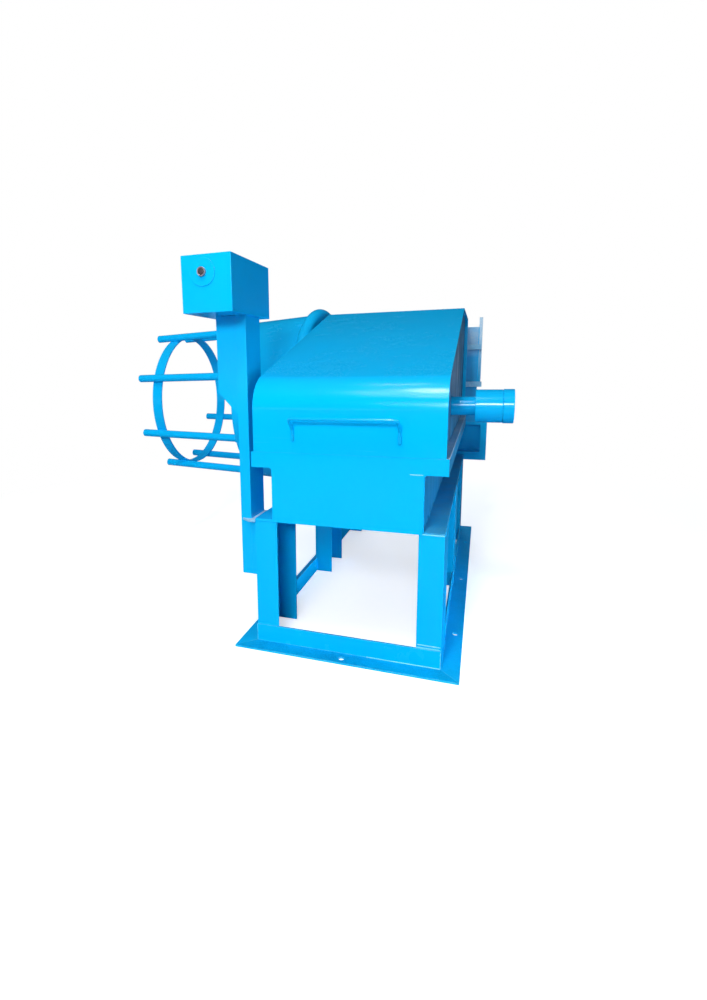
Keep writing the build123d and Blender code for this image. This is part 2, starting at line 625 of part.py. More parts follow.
with BuildPart() as pinion:
    with BuildSketch(gear_plane(INPUT_AXIS_Y, INPUT_AXIS_HEIGHT, -PINION_LENGTH / 2)):
        with BuildLine():
            Polyline(*gear_outline(PINION_TEETH, PINION_FIRST), close=True)
        make_face()
        Circle(INPUT_SHAFT_RADIUS, mode=Mode.SUBTRACT)
    extrude(amount=PINION_LENGTH)
pinion.part.label = "pinion"
export_step(pinion.part, "parts/pinion.step")

# Drum: a slightly tapered shell with a rounded rim, closed by a disc at each end
DRUM_END_RADIUS = DRUM_RADIUS - DRUM_TAPER
DRUM_BORE = DRUM_END_RADIUS - DRUM_WALL
RIM_CENTRE = DRUM_RIGHT - DRUM_RIM_RADIUS
DRUM_AXIS = Axis((0, DRUM_AXIS_Y, DRUM_AXIS_HEIGHT), (1, 0, 0))
RIM_ANGLES = [pi * flat / DRUM_RIM_FLATS for flat in range(DRUM_RIM_FLATS, -1, -1)]
RIM_POINTS = [
    (RIM_CENTRE + DRUM_RIM_RADIUS * cos(angle), DRUM_RADIUS + DRUM_RIM_RADIUS * sin(angle)) for angle in RIM_ANGLES
]
with BuildPart() as drum_shell:
    with BuildSketch(Plane(origin=(0, DRUM_AXIS_Y, DRUM_AXIS_HEIGHT), x_dir=(1, 0, 0), z_dir=(0, -1, 0))):
        with BuildLine():
            Polyline(
                (DRUM_LEFT, DRUM_BORE),
                (DRUM_LEFT, DRUM_END_RADIUS),
                *RIM_POINTS,
                (DRUM_RIGHT, DRUM_BORE),
                close=True,
            )
        make_face()
    revolve(axis=DRUM_AXIS)
drum_shell.part.label = "drum_shell"
export_step(drum_shell.part, "parts/drum_shell.step")

# The face disc is flush with the shell's end, the back disc set in from it
DRUM_BACK = DRUM_RIGHT - DRUM_BACK_INSET
for name, outer, inward in (("drum_face", DRUM_LEFT, 1), ("drum_back", DRUM_BACK, -1)):
    with BuildPart() as disc:
        with BuildSketch(Plane.YZ.offset(outer)):
            with Locations((DRUM_AXIS_Y, DRUM_AXIS_HEIGHT)):
                Circle(DRUM_BORE)
                Circle(MAIN_SHAFT_RADIUS, mode=Mode.SUBTRACT)
        extrude(amount=inward * DRUM_DISC)
    disc.part.label = name
    export_step(disc.part, f"parts/{name}.step")

# Cage: round bars on the drum's face, drawn together towards their free ends and
# held by a flat ring, where one of them ends
CAGE_ROOT_RADIUS = DRUM_END_RADIUS - CAGE_BAR_RADIUS
CAGE_SLOPE = atan2(CAGE_TAPER, CAGE_LENGTH)
CAGE_END = DRUM_LEFT - CAGE_LENGTH
with BuildPart() as cage_bars:
    for bar in range(CAGE_BARS):
        angle = radians(CAGE_FIRST_ANGLE) + bar * 2 * pi / CAGE_BARS
        root = (DRUM_LEFT, DRUM_AXIS_Y + CAGE_ROOT_RADIUS * cos(angle), DRUM_AXIS_HEIGHT + CAGE_ROOT_RADIUS * sin(angle))
        along = (-cos(CAGE_SLOPE), -sin(CAGE_SLOPE) * cos(angle), -sin(CAGE_SLOPE) * sin(angle))
        reach = CAGE_LENGTH - RING_INSET if bar == CAGE_SHORT_BAR else CAGE_LENGTH
        with BuildSketch(Plane(origin=root, z_dir=along).offset(-CAGE_BAR_RADIUS)):
            Circle(CAGE_BAR_RADIUS)
        extrude(amount=CAGE_BAR_RADIUS + reach / cos(CAGE_SLOPE))
    split(bisect_by=Plane.YZ.offset(DRUM_LEFT), keep=Keep.BOTTOM)
cage_bars.part.label = "cage_bars"
export_step(cage_bars.part, "parts/cage_bars.step")

# Ring: as wide as it can lie inside the bars, which are let into it a little
RING_LEFT = CAGE_END + RING_INSET
RING_RIGHT = RING_LEFT + RING_WIDTH
RING_PITCH_RADIUS = CAGE_ROOT_RADIUS - (DRUM_LEFT - RING_RIGHT) * tan(CAGE_SLOPE)
RING_RADIUS = RING_PITCH_RADIUS - CAGE_BAR_RADIUS + RING_SEAT
with BuildPart() as cage_ring:
    with BuildSketch(Plane.YZ.offset(RING_LEFT)):
        with Locations((DRUM_AXIS_Y, DRUM_AXIS_HEIGHT)):
            Circle(RING_RADIUS)
            Circle(RING_RADIUS - RING_THICKNESS, mode=Mode.SUBTRACT)
    extrude(amount=RING_WIDTH)
    add(cage_bars.part, mode=Mode.SUBTRACT)
cage_ring.part.label = "cage_ring"
export_step(cage_ring.part, "parts/cage_ring.step")

# Motor tray: an upright pan behind the rear right leg, open to the front
TRAY_RIGHT = SIDE_FACE + TRAY_REACH
TRAY_LEFT = TRAY_RIGHT - TRAY_WIDTH
TRAY_BOTTOM = LEG_HEIGHT - TRAY_DROP
TRAY_TOP = TRAY_BOTTOM + TRAY_HEIGHT
with BuildPart() as motor_tray:
    with Locations((TRAY_LEFT, REAR_FACE, TRAY_BOTTOM)):
        Box(TRAY_WIDTH, STAND_DEPTH, TRAY_HEIGHT, align=(Align.MIN, Align.MIN, Align.MIN))
    with Locations((TRAY_LEFT + TRAY_RIM, REAR_FACE, TRAY_BOTTOM + TRAY_BOTTOM_RIM)):
        Box(
            TRAY_WIDTH - 2 * TRAY_RIM,
            STAND_DEPTH - TRAY_BACK,
            TRAY_HEIGHT - TRAY_BOTTOM_RIM - TRAY_TOP_RIM,
            align=(Align.MIN, Align.MIN, Align.MIN),
            mode=Mode.SUBTRACT,
        )
motor_tray.part.label = "motor_tray"
export_step(motor_tray.part, "parts/motor_tray.step")

# Motor stand: an upright channel on the tray, open to the rear
STAND_RIGHT = SIDE_FACE + STAND_REACH
STAND_LEFT = STAND_RIGHT - STAND_WIDTH
STAND_TOP = DECK_TOP + STAND_RISE
with BuildPart() as stand_upright:
    with BuildSketch(Plane.XY.offset(TRAY_TOP)):
        with Locations((STAND_LEFT, REAR_FACE)):
            Rectangle(STAND_WIDTH, STAND_DEPTH, align=(Align.MIN, Align.MIN))
        with Locations((STAND_LEFT + STAND_THICKNESS, REAR_FACE + STAND_THICKNESS)):
            Rectangle(
                STAND_WIDTH - 2 * STAND_THICKNESS,
                STAND_DEPTH,
                align=(Align.MIN, Align.MIN),
                mode=Mode.SUBTRACT,
            )
    extrude(amount=STAND_TOP - TRAY_TOP)
stand_upright.part.label = "stand_upright"
export_step(stand_upright.part, "parts/stand_upright.step")

# Shelves: angles across the upright's face, lip upwards
for name, rise, reach in (
    ("stand_shelf_upper", SHELF_UPPER_RISE, SHELF_UPPER_REACH),
    ("stand_shelf_lower", SHELF_LOWER_RISE, SHELF_LOWER_REACH),
):
    with BuildPart() as shelf:
        with BuildSketch(Plane.YZ.offset(STAND_LEFT)):
            with Locations((REAR_FACE, DECK_TOP + rise)):
                Rectangle(SHELF_DEPTH, STAND_THICKNESS, align=(Align.MAX, Align.MIN))
            with Locations((REAR_FACE - SHELF_DEPTH, DECK_TOP + rise)):
                Rectangle(STAND_THICKNESS, SHELF_LIP, align=(Align.MIN, Align.MIN))
        extrude(amount=STAND_WIDTH + reach)
    shelf.part.label = name
    export_step(shelf.part, f"parts/{name}.step")

# Fin: a flat bar on the upright's right side, from the lower shelf to above the top
with BuildPart() as stand_fin:
    with Locations((STAND_RIGHT, REAR_FACE, DECK_TOP + SHELF_LOWER_RISE)):
        Box(
            FIN_THICKNESS,
            STAND_DEPTH,
            FIN_RISE - SHELF_LOWER_RISE,
            align=(Align.MIN, Align.MIN, Align.MIN),
        )
stand_fin.part.label = "stand_fin"
export_step(stand_fin.part, "parts/stand_fin.step")
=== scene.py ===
import json
import math
import random

import bmesh
import bpy
from mathutils import Matrix, Vector

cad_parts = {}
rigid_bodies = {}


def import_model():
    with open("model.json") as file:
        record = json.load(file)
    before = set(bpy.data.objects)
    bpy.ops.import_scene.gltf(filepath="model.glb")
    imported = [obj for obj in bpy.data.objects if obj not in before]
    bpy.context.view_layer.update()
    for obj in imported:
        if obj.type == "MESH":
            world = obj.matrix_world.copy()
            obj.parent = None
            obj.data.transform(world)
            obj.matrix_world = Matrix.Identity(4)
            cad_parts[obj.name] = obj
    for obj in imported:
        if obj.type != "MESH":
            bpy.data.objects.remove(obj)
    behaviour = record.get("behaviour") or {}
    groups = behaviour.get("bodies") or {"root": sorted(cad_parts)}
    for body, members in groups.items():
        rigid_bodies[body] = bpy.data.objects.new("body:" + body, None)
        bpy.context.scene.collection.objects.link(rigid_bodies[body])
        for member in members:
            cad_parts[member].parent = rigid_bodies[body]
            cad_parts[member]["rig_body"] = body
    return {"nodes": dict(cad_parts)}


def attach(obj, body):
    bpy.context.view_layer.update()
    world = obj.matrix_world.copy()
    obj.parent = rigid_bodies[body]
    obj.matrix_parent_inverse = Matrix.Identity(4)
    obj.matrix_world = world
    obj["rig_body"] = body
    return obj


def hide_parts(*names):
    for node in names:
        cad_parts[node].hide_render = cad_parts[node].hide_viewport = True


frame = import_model()
for leftover in ("Cube", "Light", "Camera"):
    if leftover in bpy.data.objects:
        bpy.data.objects.remove(bpy.data.objects[leftover])
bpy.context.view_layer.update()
scene = bpy.context.scene
print("frame loaded:", len(frame["nodes"]), "nodes")

mm = 0.001
closeTo = 0.001 * mm  # points nearer than this are one point
acrossX, acrossY = Vector((1, 0, 0)), Vector((0, 1, 0))
still = (0, 0, 0)


# Trees of nodes: a socket is fed with a number, a colour or what another node gives


def feed(tree, socket, value):
    if isinstance(value, (int, float)):
        socket.default_value = value
    elif isinstance(value, tuple):
        socket.default_value = (*value, 1)
    else:
        tree.links.new(value, socket)


def feedAll(tree, node, inputs):
    # An underscore in a name stands for a space in the socket's label
    for name, value in inputs.items():
        feed(tree, node.inputs[name.replace("_", " ")], value)
    return node.outputs


def addNode(tree, kind, **inputs):
    return feedAll(tree, tree.nodes.new("ShaderNode" + kind), inputs)


def useGroup(tree, group, **inputs):
    node = tree.nodes.new("ShaderNodeGroup")
    node.node_tree = group
    return feedAll(tree, node, inputs)


def addMath(tree, operation, result, *others):
    for other in others:
        node = tree.nodes.new("ShaderNodeMath")
        node.operation = operation
        feed(tree, node.inputs[0], result)
        feed(tree, node.inputs[1], other)
        result = node.outputs[0]
    return result


def times(tree, *values):
    return addMath(tree, "MULTIPLY", *values)


def plus(tree, *values):
    return addMath(tree, "ADD", *values)


def addVectorMath(tree, operation, first):
    node = tree.nodes.new("ShaderNodeVectorMath")
    node.operation = operation
    tree.links.new(first, node.inputs[0])
    return node


def addMix(tree, factor, first, second):
    mix = tree.nodes.new("ShaderNodeMix")
    mix.data_type = "RGBA"
    for place, value in ((0, factor), (6, first), (7, second)):
        feed(tree, mix.inputs[place], value)
    return mix.outputs[2]


def addRange(tree, value, fromLow, fromHigh, toLow=0.0, kind="LINEAR"):
    ranged = tree.nodes.new("ShaderNodeMapRange")
    ranged.interpolation_type = kind
    inputs = {"Value": value, "From_Min": fromLow, "From_Max": fromHigh, "To_Min": toLow}
    return feedAll(tree, ranged, inputs)["Result"]


def joinShaders(tree, kind, *given):
    node = tree.nodes.new("ShaderNode" + kind)
    for place, value in enumerate(given):
        feed(tree, node.inputs[place], value)
    return node.outputs[0]


def newMaterial(name):
    made = bpy.data.materials.new(name)
    made.use_nodes = True
    made.node_tree.nodes.clear()
    return made, made.node_tree


def endTree(tree, kind, shader):
    tree.links.new(shader, tree.nodes.new("ShaderNodeOutput" + kind).inputs["Surface"])


# Camera

cameraView = {
    "place": (0.3639, -2.1500, 0.8608),
    "yaw": 0.341,  # radians, to the left of straight ahead
    "pitch": -0.172,
    "roll": -0.015,
    "lens": 19.062,
    "shift": (0.0588, -0.0398),
    "sensor": 36,
    "clip": (0.05, 60),
}


def makeCamera(v):
    data = bpy.data.cameras.new("camera")
    data.sensor_width = v["sensor"]
    data.lens = v["lens"]
    data.shift_x, data.shift_y = v["shift"]
    data.clip_start, data.clip_end = v["clip"]
    camera = bpy.data.objects.new("camera", data)
    scene.collection.objects.link(camera)
    yaw, pitch, roll = v["yaw"], v["pitch"], v["roll"]
    ahead = Vector((-math.sin(yaw) * math.cos(pitch), math.cos(yaw) * math.cos(pitch), math.sin(pitch)))
    right = Vector((math.cos(yaw), math.sin(yaw), 0))
    up = right.cross(ahead)
    rolledRight = right * math.cos(roll) + up * math.sin(roll)
    rolledUp = up * math.cos(roll) - right * math.sin(roll)
    turn = Matrix((rolledRight, rolledUp, -ahead)).transposed().to_4x4()
    camera.matrix_world = Matrix.Translation(Vector(v["place"])) @ turn
    scene.camera = camera


makeCamera(cameraView)
scene.view_settings.view_transform = "Standard"


# Light: a broad soft lamp in front gives the tone, and small bright ones give the shine:
# a tube, a strip and two windows high up on the hood's bend, a doorway on the round pieces.
# A lamp shines straight down, is white and shows in gloss unless it says otherwise.

lamps = {
    "frontLamp": {
        "place": (-0.25, -4.0, 2.2), "aim": (0, -0.2, 0.6), "size": (0.75, 0.7), "power": 57,
        "colour": (1.0, 0.99, 0.97), "gleam": False,
    },
    "doorLamp": {
        "place": (0.50, -4.0, 1.85), "aim": (0.1, -0.3, 0.7), "size": (0.78, 0.58), "power": 40,
        "colour": (1.0, 1.0, 0.98),
    },
    "tubeLamp": {"place": (0.0, -1.95, 3.4), "size": (0.26, 0.70), "power": 29},
    "stripLamp": {"place": (-0.22, -0.85, 3.4), "size": (0.36, 0.09), "power": 3},
    "highWindow": {"place": (-0.52, -2.50, 3.4), "size": (0.22, 0.95), "power": 6},
    "roofWindow": {"place": (-0.08, -3.0, 3.4), "size": (0.26, 0.95), "power": 10},
    "rightLamp": {
        "place": (3.6, -1.1, 1.5), "aim": (0, 0, 0.6), "size": (2.0, 2.0), "power": 6,
        "colour": (0.60, 0.78, 1.0), "gleam": False,
    },
    "lowLamp": {
        "place": (2.4, -0.9, 0.35), "aim": (0.3, -0.4, 0.15), "size": (0.6, 0.4), "power": 3.1,
        "colour": (0.60, 0.80, 1.0), "gleam": False, "spread": 42,
    },
    "leftLamp": {
        "place": (-4.2, -0.6, 2.0), "aim": (-0.4, 0, 0.6), "size": (2.2, 2.0), "power": 24,
        "colour": (0.74, 0.87, 1.0),
    },
    "backLamp": {
        "place": (-0.6, 4.6, 2.8), "aim": (0, 0.2, 0.6), "size": (2.4, 2.0), "power": 78,
        "colour": (0.85, 0.93, 1.0), "gleam": False,
    },
}
white = (1.0, 1.0, 1.0)
halfTurn = 180
room = {
    "shade": (0.60, 0.76, 1.0), "shadeStrength": 0.23,
    "ceiling": (0.010, 0.030, 0.045), "ceilingFrom": 0.0, "ceilingTo": 0.09,
}


def makeLamps(values):
    for name, v in values.items():
        data = bpy.data.lights.new(name, "AREA")
        data.shape = "RECTANGLE"
        data.size, data.size_y = v["size"]
        data.energy = v["power"]
        data.color = v.get("colour", white)
        data.spread = math.radians(v.get("spread", halfTurn))
        made = bpy.data.objects.new(name, data)
        scene.collection.objects.link(made)
        made.visible_glossy = v.get("gleam", True)
        made.location = v["place"]
        x, y, _ = v["place"]
        aim = Vector(v.get("aim", (x, y, 0.0)))
        made.rotation_mode = "QUATERNION"
        made.rotation_quaternion = (aim - Vector(v["place"])).to_track_quat("-Z", "Y")


def makeRoom(v):
    world = bpy.data.worlds.new("room")
    scene.world = world
    world.use_nodes = True
    tree = world.node_tree
    tree.nodes.clear()
    path = addNode(tree, "LightPath")
    # The camera sees plain white, straight or through glass
    seen = addMath(tree, "MAXIMUM", path["Is Camera Ray"], path["Is Transmission Ray"])
    # Reflections find the white room at the horizon and a dark ceiling above
    height = addNode(tree, "SeparateXYZ", Vector=addNode(tree, "TexCoord")["Generated"])["Z"]
    darker = addRange(tree, height, v["ceilingFrom"], v["ceilingTo"], kind="SMOOTHSTEP")
    mirrored = addNode(tree, "Background", Color=addMix(tree, darker, white, v["ceiling"]))
    shade = addNode(tree, "Background", Color=v["shade"], Strength=v["shadeStrength"])
    backdrop = addNode(tree, "Background", Color=white)
    unseen = joinShaders(tree, "MixShader", path["Is Glossy Ray"], shade[0], mirrored[0])
    endTree(tree, "World", joinShaders(tree, "MixShader", seen, unseen, backdrop[0]))


makeLamps(lamps)
makeRoom(room)


# Floor: pale, lifted for the camera and fading to plain white away from the machine

floorLook = {
    "half": 14.0, "colour": (0.80, 0.80, 0.80), "returned": (0.42, 0.50, 0.60),
    "mirrored": (0.07, 0.13, 0.18), "lift": 0.60, "fadeFrom": 1.3, "fadeTo": 2.9,
}


def makeFloor(v):
    bm = bmesh.new()
    bmesh.ops.create_grid(bm, x_segments=1, y_segments=1, size=v["half"])
    mesh = bpy.data.meshes.new("floor")
    bm.to_mesh(mesh)
    bm.free()
    floor = bpy.data.objects.new("floor", mesh)
    scene.collection.objects.link(floor)
    paint, tree = newMaterial("paleFloor")
    path = addNode(tree, "LightPath")
    seen = path["Is Camera Ray"]
    # The floor gives less back to the machine than the camera sees, and less still in its gloss
    colour = addMix(tree, seen, v["returned"], v["colour"])
    colour = addMix(tree, path["Is Glossy Ray"], colour, v["mirrored"])
    matt = addNode(tree, "BsdfDiffuse", Color=colour)
    lift = addNode(tree, "Emission", Strength=times(tree, seen, v["lift"]))
    near = joinShaders(tree, "AddShader", matt[0], lift[0])
    distance = addVectorMath(tree, "LENGTH", addNode(tree, "TexCoord")["Object"]).outputs["Value"]
    fade = addRange(tree, distance, v["fadeFrom"], v["fadeTo"], kind="SMOOTHSTEP")
    far = addNode(tree, "Emission")
    endTree(tree, "Material", joinShaders(tree, "MixShader", times(tree, fade, seen), near, far[0]))
    mesh.materials.append(paint)


makeFloor(floorLook)
print("camera, lamps and floor made")


# Noise that the finishes share: it fades in between its two levels, from its least value up to 1

patterns = {
    "clouds": {"scale": 2.6, "detail": 4, "from": 0.35, "to": 0.70},
    "speckle": {"scale": 38, "detail": 3, "from": 0.45, "to": 0.75},
    "smear": {"scale": 7.0, "detail": 5, "rough": 0.65, "from": 0.30, "to": 0.75},
    "peel": {"scale": 420, "detail": 2},
    "wave": {"scale": 3.2, "detail": 2},
    "brushed": {"scale": 26, "detail": 2, "rough": 0.4},
    "patchesOfDustAndPaintedLight": {"scale": 4.5, "detail": 6, "rough": 0.62, "from": 0.30, "to": 0.74, "least": 0.3},
    "grainsOfDustAndPaintedLight": {"scale": 260, "detail": 3, "rough": 0.6, "from": 0.38, "to": 0.68, "least": 0.55},
    "broadRuns": {"stretch": (26, 26, 0.9), "detail": 3, "from": 0.42, "to": 0.66},
    "fineRuns": {"stretch": (120, 120, 2.2), "detail": 3, "rough": 0.6, "from": 0.44, "to": 0.68},
    "runHaze": {"scale": 6, "detail": 4, "rough": 0.6, "from": 0.35, "to": 0.65, "least": 0.45},
    "chips": {"scale": 55, "detail": 5, "rough": 0.7, "from": 0.42, "to": 0.62},
    "longMarks": {"stretch": (4, 300, 300), "detail": 2, "rough": 0.5, "from": 0.71, "to": 0.78},
    "crossMarks": {"stretch": (260, 7, 7), "detail": 2, "rough": 0.5, "from": 0.72, "to": 0.79},
    "markedAreas": {"scale": 5, "detail": 3, "from": 0.45, "to": 0.68},
}


def addPattern(tree, place, name):
    v = patterns[name]
    if "stretch" in v:
        mapping = tree.nodes.new("ShaderNodeMapping")
        mapping.inputs["Scale"].default_value = v["stretch"]
        tree.links.new(place, mapping.inputs["Vector"])
        place = mapping.outputs["Vector"]
    inputs = {"Scale": v.get("scale", 1.0), "Detail": v["detail"], "Roughness": v.get("rough", 0.55)}
    noise = addNode(tree, "TexNoise", Vector=place, **inputs)["Fac"]
    if "from" in v:
        return addRange(tree, noise, v["from"], v["to"], v.get("least", 0.0))
    return noise


# Node groups for the effects that the finishes share

colourLabels = ("Colour", "Deep Colour", "DustAndPaintedLight", "StainAndPaintedShade", "RubbedAndHighlight", "Mark")


def newGroup(name, inputs, outputs):
    group = bpy.data.node_groups.new(name, "ShaderNodeTree")
    for way, labels in (("INPUT", inputs), ("OUTPUT", outputs)):
        for label in labels:
            kind = "NodeSocketColor" if label in colourLabels else "NodeSocketFloat"
            group.interface.new_socket(label, in_out=way, socket_type=kind)
    place = addNode(group, "TexCoord")["Object"]
    return group, place, group.nodes.new("NodeGroupInput").outputs, group.nodes.new("NodeGroupOutput").inputs


def layOver(group, given, made, mask, label):
    # Ends a group that lays a second colour over the first one where its mask says
    feed(group, made["Mask"], mask)
    feed(group, made["Colour"], addMix(group, mask, given["Colour"], given[label]))
    return group


def makeEnamelTone(speckled):
    # Sprayed enamel: slow shifts of tone, and a roughness that is never quite even
    inputs = ["Colour", "Deep Colour", "Amount", "Gloss", "Gloss Spread"]
    group, place, given, made = newGroup("enamelTone", inputs, ["Colour", "Roughness"])
    clouds = times(group, addPattern(group, place, "clouds"), given["Amount"])
    blend = plus(group, clouds, times(group, addPattern(group, place, "speckle"), speckled))
    feed(group, made["Colour"], addMix(group, blend, given["Colour"], given["Deep Colour"]))
    smear = times(group, addPattern(group, place, "smear"), given["Gloss Spread"])
    feed(group, made["Roughness"], plus(group, smear, given["Gloss"]))
    return group


def makeSheetRipple(brushMarks):
    # Height of a brushed and sprayed coat on sheet steel, in millimetres
    group, place, given, made = newGroup("sheetRipple", ["Peel", "Wave"], ["Height"])
    peel = times(group, addPattern(group, place, "peel"), given["Peel"])
    wave = times(group, addPattern(group, place, "wave"), given["Wave"])
    brushed = times(group, addPattern(group, place, "brushed"), given["Peel"], brushMarks)
    feed(group, made["Height"], plus(group, peel, wave, brushed))
    return group


def makeDustAndPaintedLight(slope):
    # Dust on what faces up, thinner on upright faces, where it may start at a height. Some finishes use the
    # same layer for painted shade on their tops, with a dark blue, and for a painted highlight along the deck
    # edge's top, with a pale colour
    inputs = ["Colour", "DustAndPaintedLight", "Amount", "Upright", "Low", "High"]
    group, place, given, made = newGroup("dustAndPaintedLight", inputs, ["Colour", "Mask"])
    normal = addNode(group, "SeparateXYZ", Vector=addNode(group, "TexCoord")["Normal"])
    facing = addRange(group, normal["Z"], *slope)
    height = addNode(group, "SeparateXYZ", Vector=place)["Z"]
    raised = times(group, addRange(group, height, given["Low"], given["High"]), given["Upright"])
    patches, grains = addPattern(group, place, "patchesOfDustAndPaintedLight"), addPattern(group, place, "grainsOfDustAndPaintedLight")
    mask = times(group, plus(group, facing, raised), patches, grains, given["Amount"])
    return layOver(group, given, made, mask, "DustAndPaintedLight")


def makeStainsAndPaintedShade(broadShare):
    # Upright runs: brown and grey where oil and rust water have come down a plate, and on the rail under the
    # deck and on the stand darker runs of painted shade
    inputs = ["Colour", "StainAndPaintedShade", "Amount", "Spacing"]
    group, place, given, made = newGroup("stainsAndPaintedShade", inputs, ["Colour", "Mask"])
    spaced = addVectorMath(group, "SCALE", place)
    group.links.new(given["Spacing"], spaced.inputs["Scale"])
    place = spaced.outputs["Vector"]
    broad = times(group, addPattern(group, place, "broadRuns"), broadShare)
    fine = times(group, addPattern(group, place, "fineRuns"), 1 - broadShare)
    mask = times(group, plus(group, broad, fine), addPattern(group, place, "runHaze"), given["Amount"])
    return layOver(group, given, made, mask, "StainAndPaintedShade")


def makeWornAndHighlightedEdges(radius, level, rubbed):
    # Edges painted lighter, for a coat that is thin and rubbed and for a painted highlight along them: the
    # rounded normal leaves the face's own one there
    inputs = ["Colour", "RubbedAndHighlight", "Amount", "Chips"]
    group, place, given, made = newGroup("wornAndHighlightedEdges", inputs, ["Colour", "Mask"])
    rounded = group.nodes.new("ShaderNodeBevel")
    rounded.samples = 4
    rounded.inputs["Radius"].default_value = radius
    likeness = addVectorMath(group, "DOT_PRODUCT", rounded.outputs["Normal"])
    group.links.new(addNode(group, "NewGeometry")["Normal"], likeness.inputs[1])
    edge = addRange(group, likeness.outputs["Value"], level, rubbed)
    chipped = times(group, edge, addPattern(group, place, "chips"), given["Chips"])
    mask = addMath(group, "MINIMUM", plus(group, times(group, edge, given["Amount"]), chipped), 1.0)
    return layOver(group, given, made, mask, "RubbedAndHighlight")


def makeHairScratches():
    # Long thin rub marks, in two directions
    group, place, given, made = newGroup("hairScratches", ["Colour", "Mark", "Amount"], ["Colour", "Mask"])
    long, cross = addPattern(group, place, "longMarks"), addPattern(group, place, "crossMarks")
    marks = addMath(group, "MAXIMUM", long, cross)
    mask = times(group, marks, addPattern(group, place, "markedAreas"), given["Amount"])
    return layOver(group, given, made, mask, "Mark")


enamelTone = makeEnamelTone(speckled=0.06)
sheetRipple = makeSheetRipple(brushMarks=1.5)
dustAndPaintedLight = makeDustAndPaintedLight(slope=(0.35, 0.95))
stainsAndPaintedShade = makeStainsAndPaintedShade(broadShare=0.65)
wornAndHighlightedEdges = makeWornAndHighlightedEdges(radius=3.5 * mm, level=0.985, rubbed=0.80)
hairScratches = makeHairScratches()


# Blue enamel, in the variants that the machine's pieces show: each says where it leaves the usual one

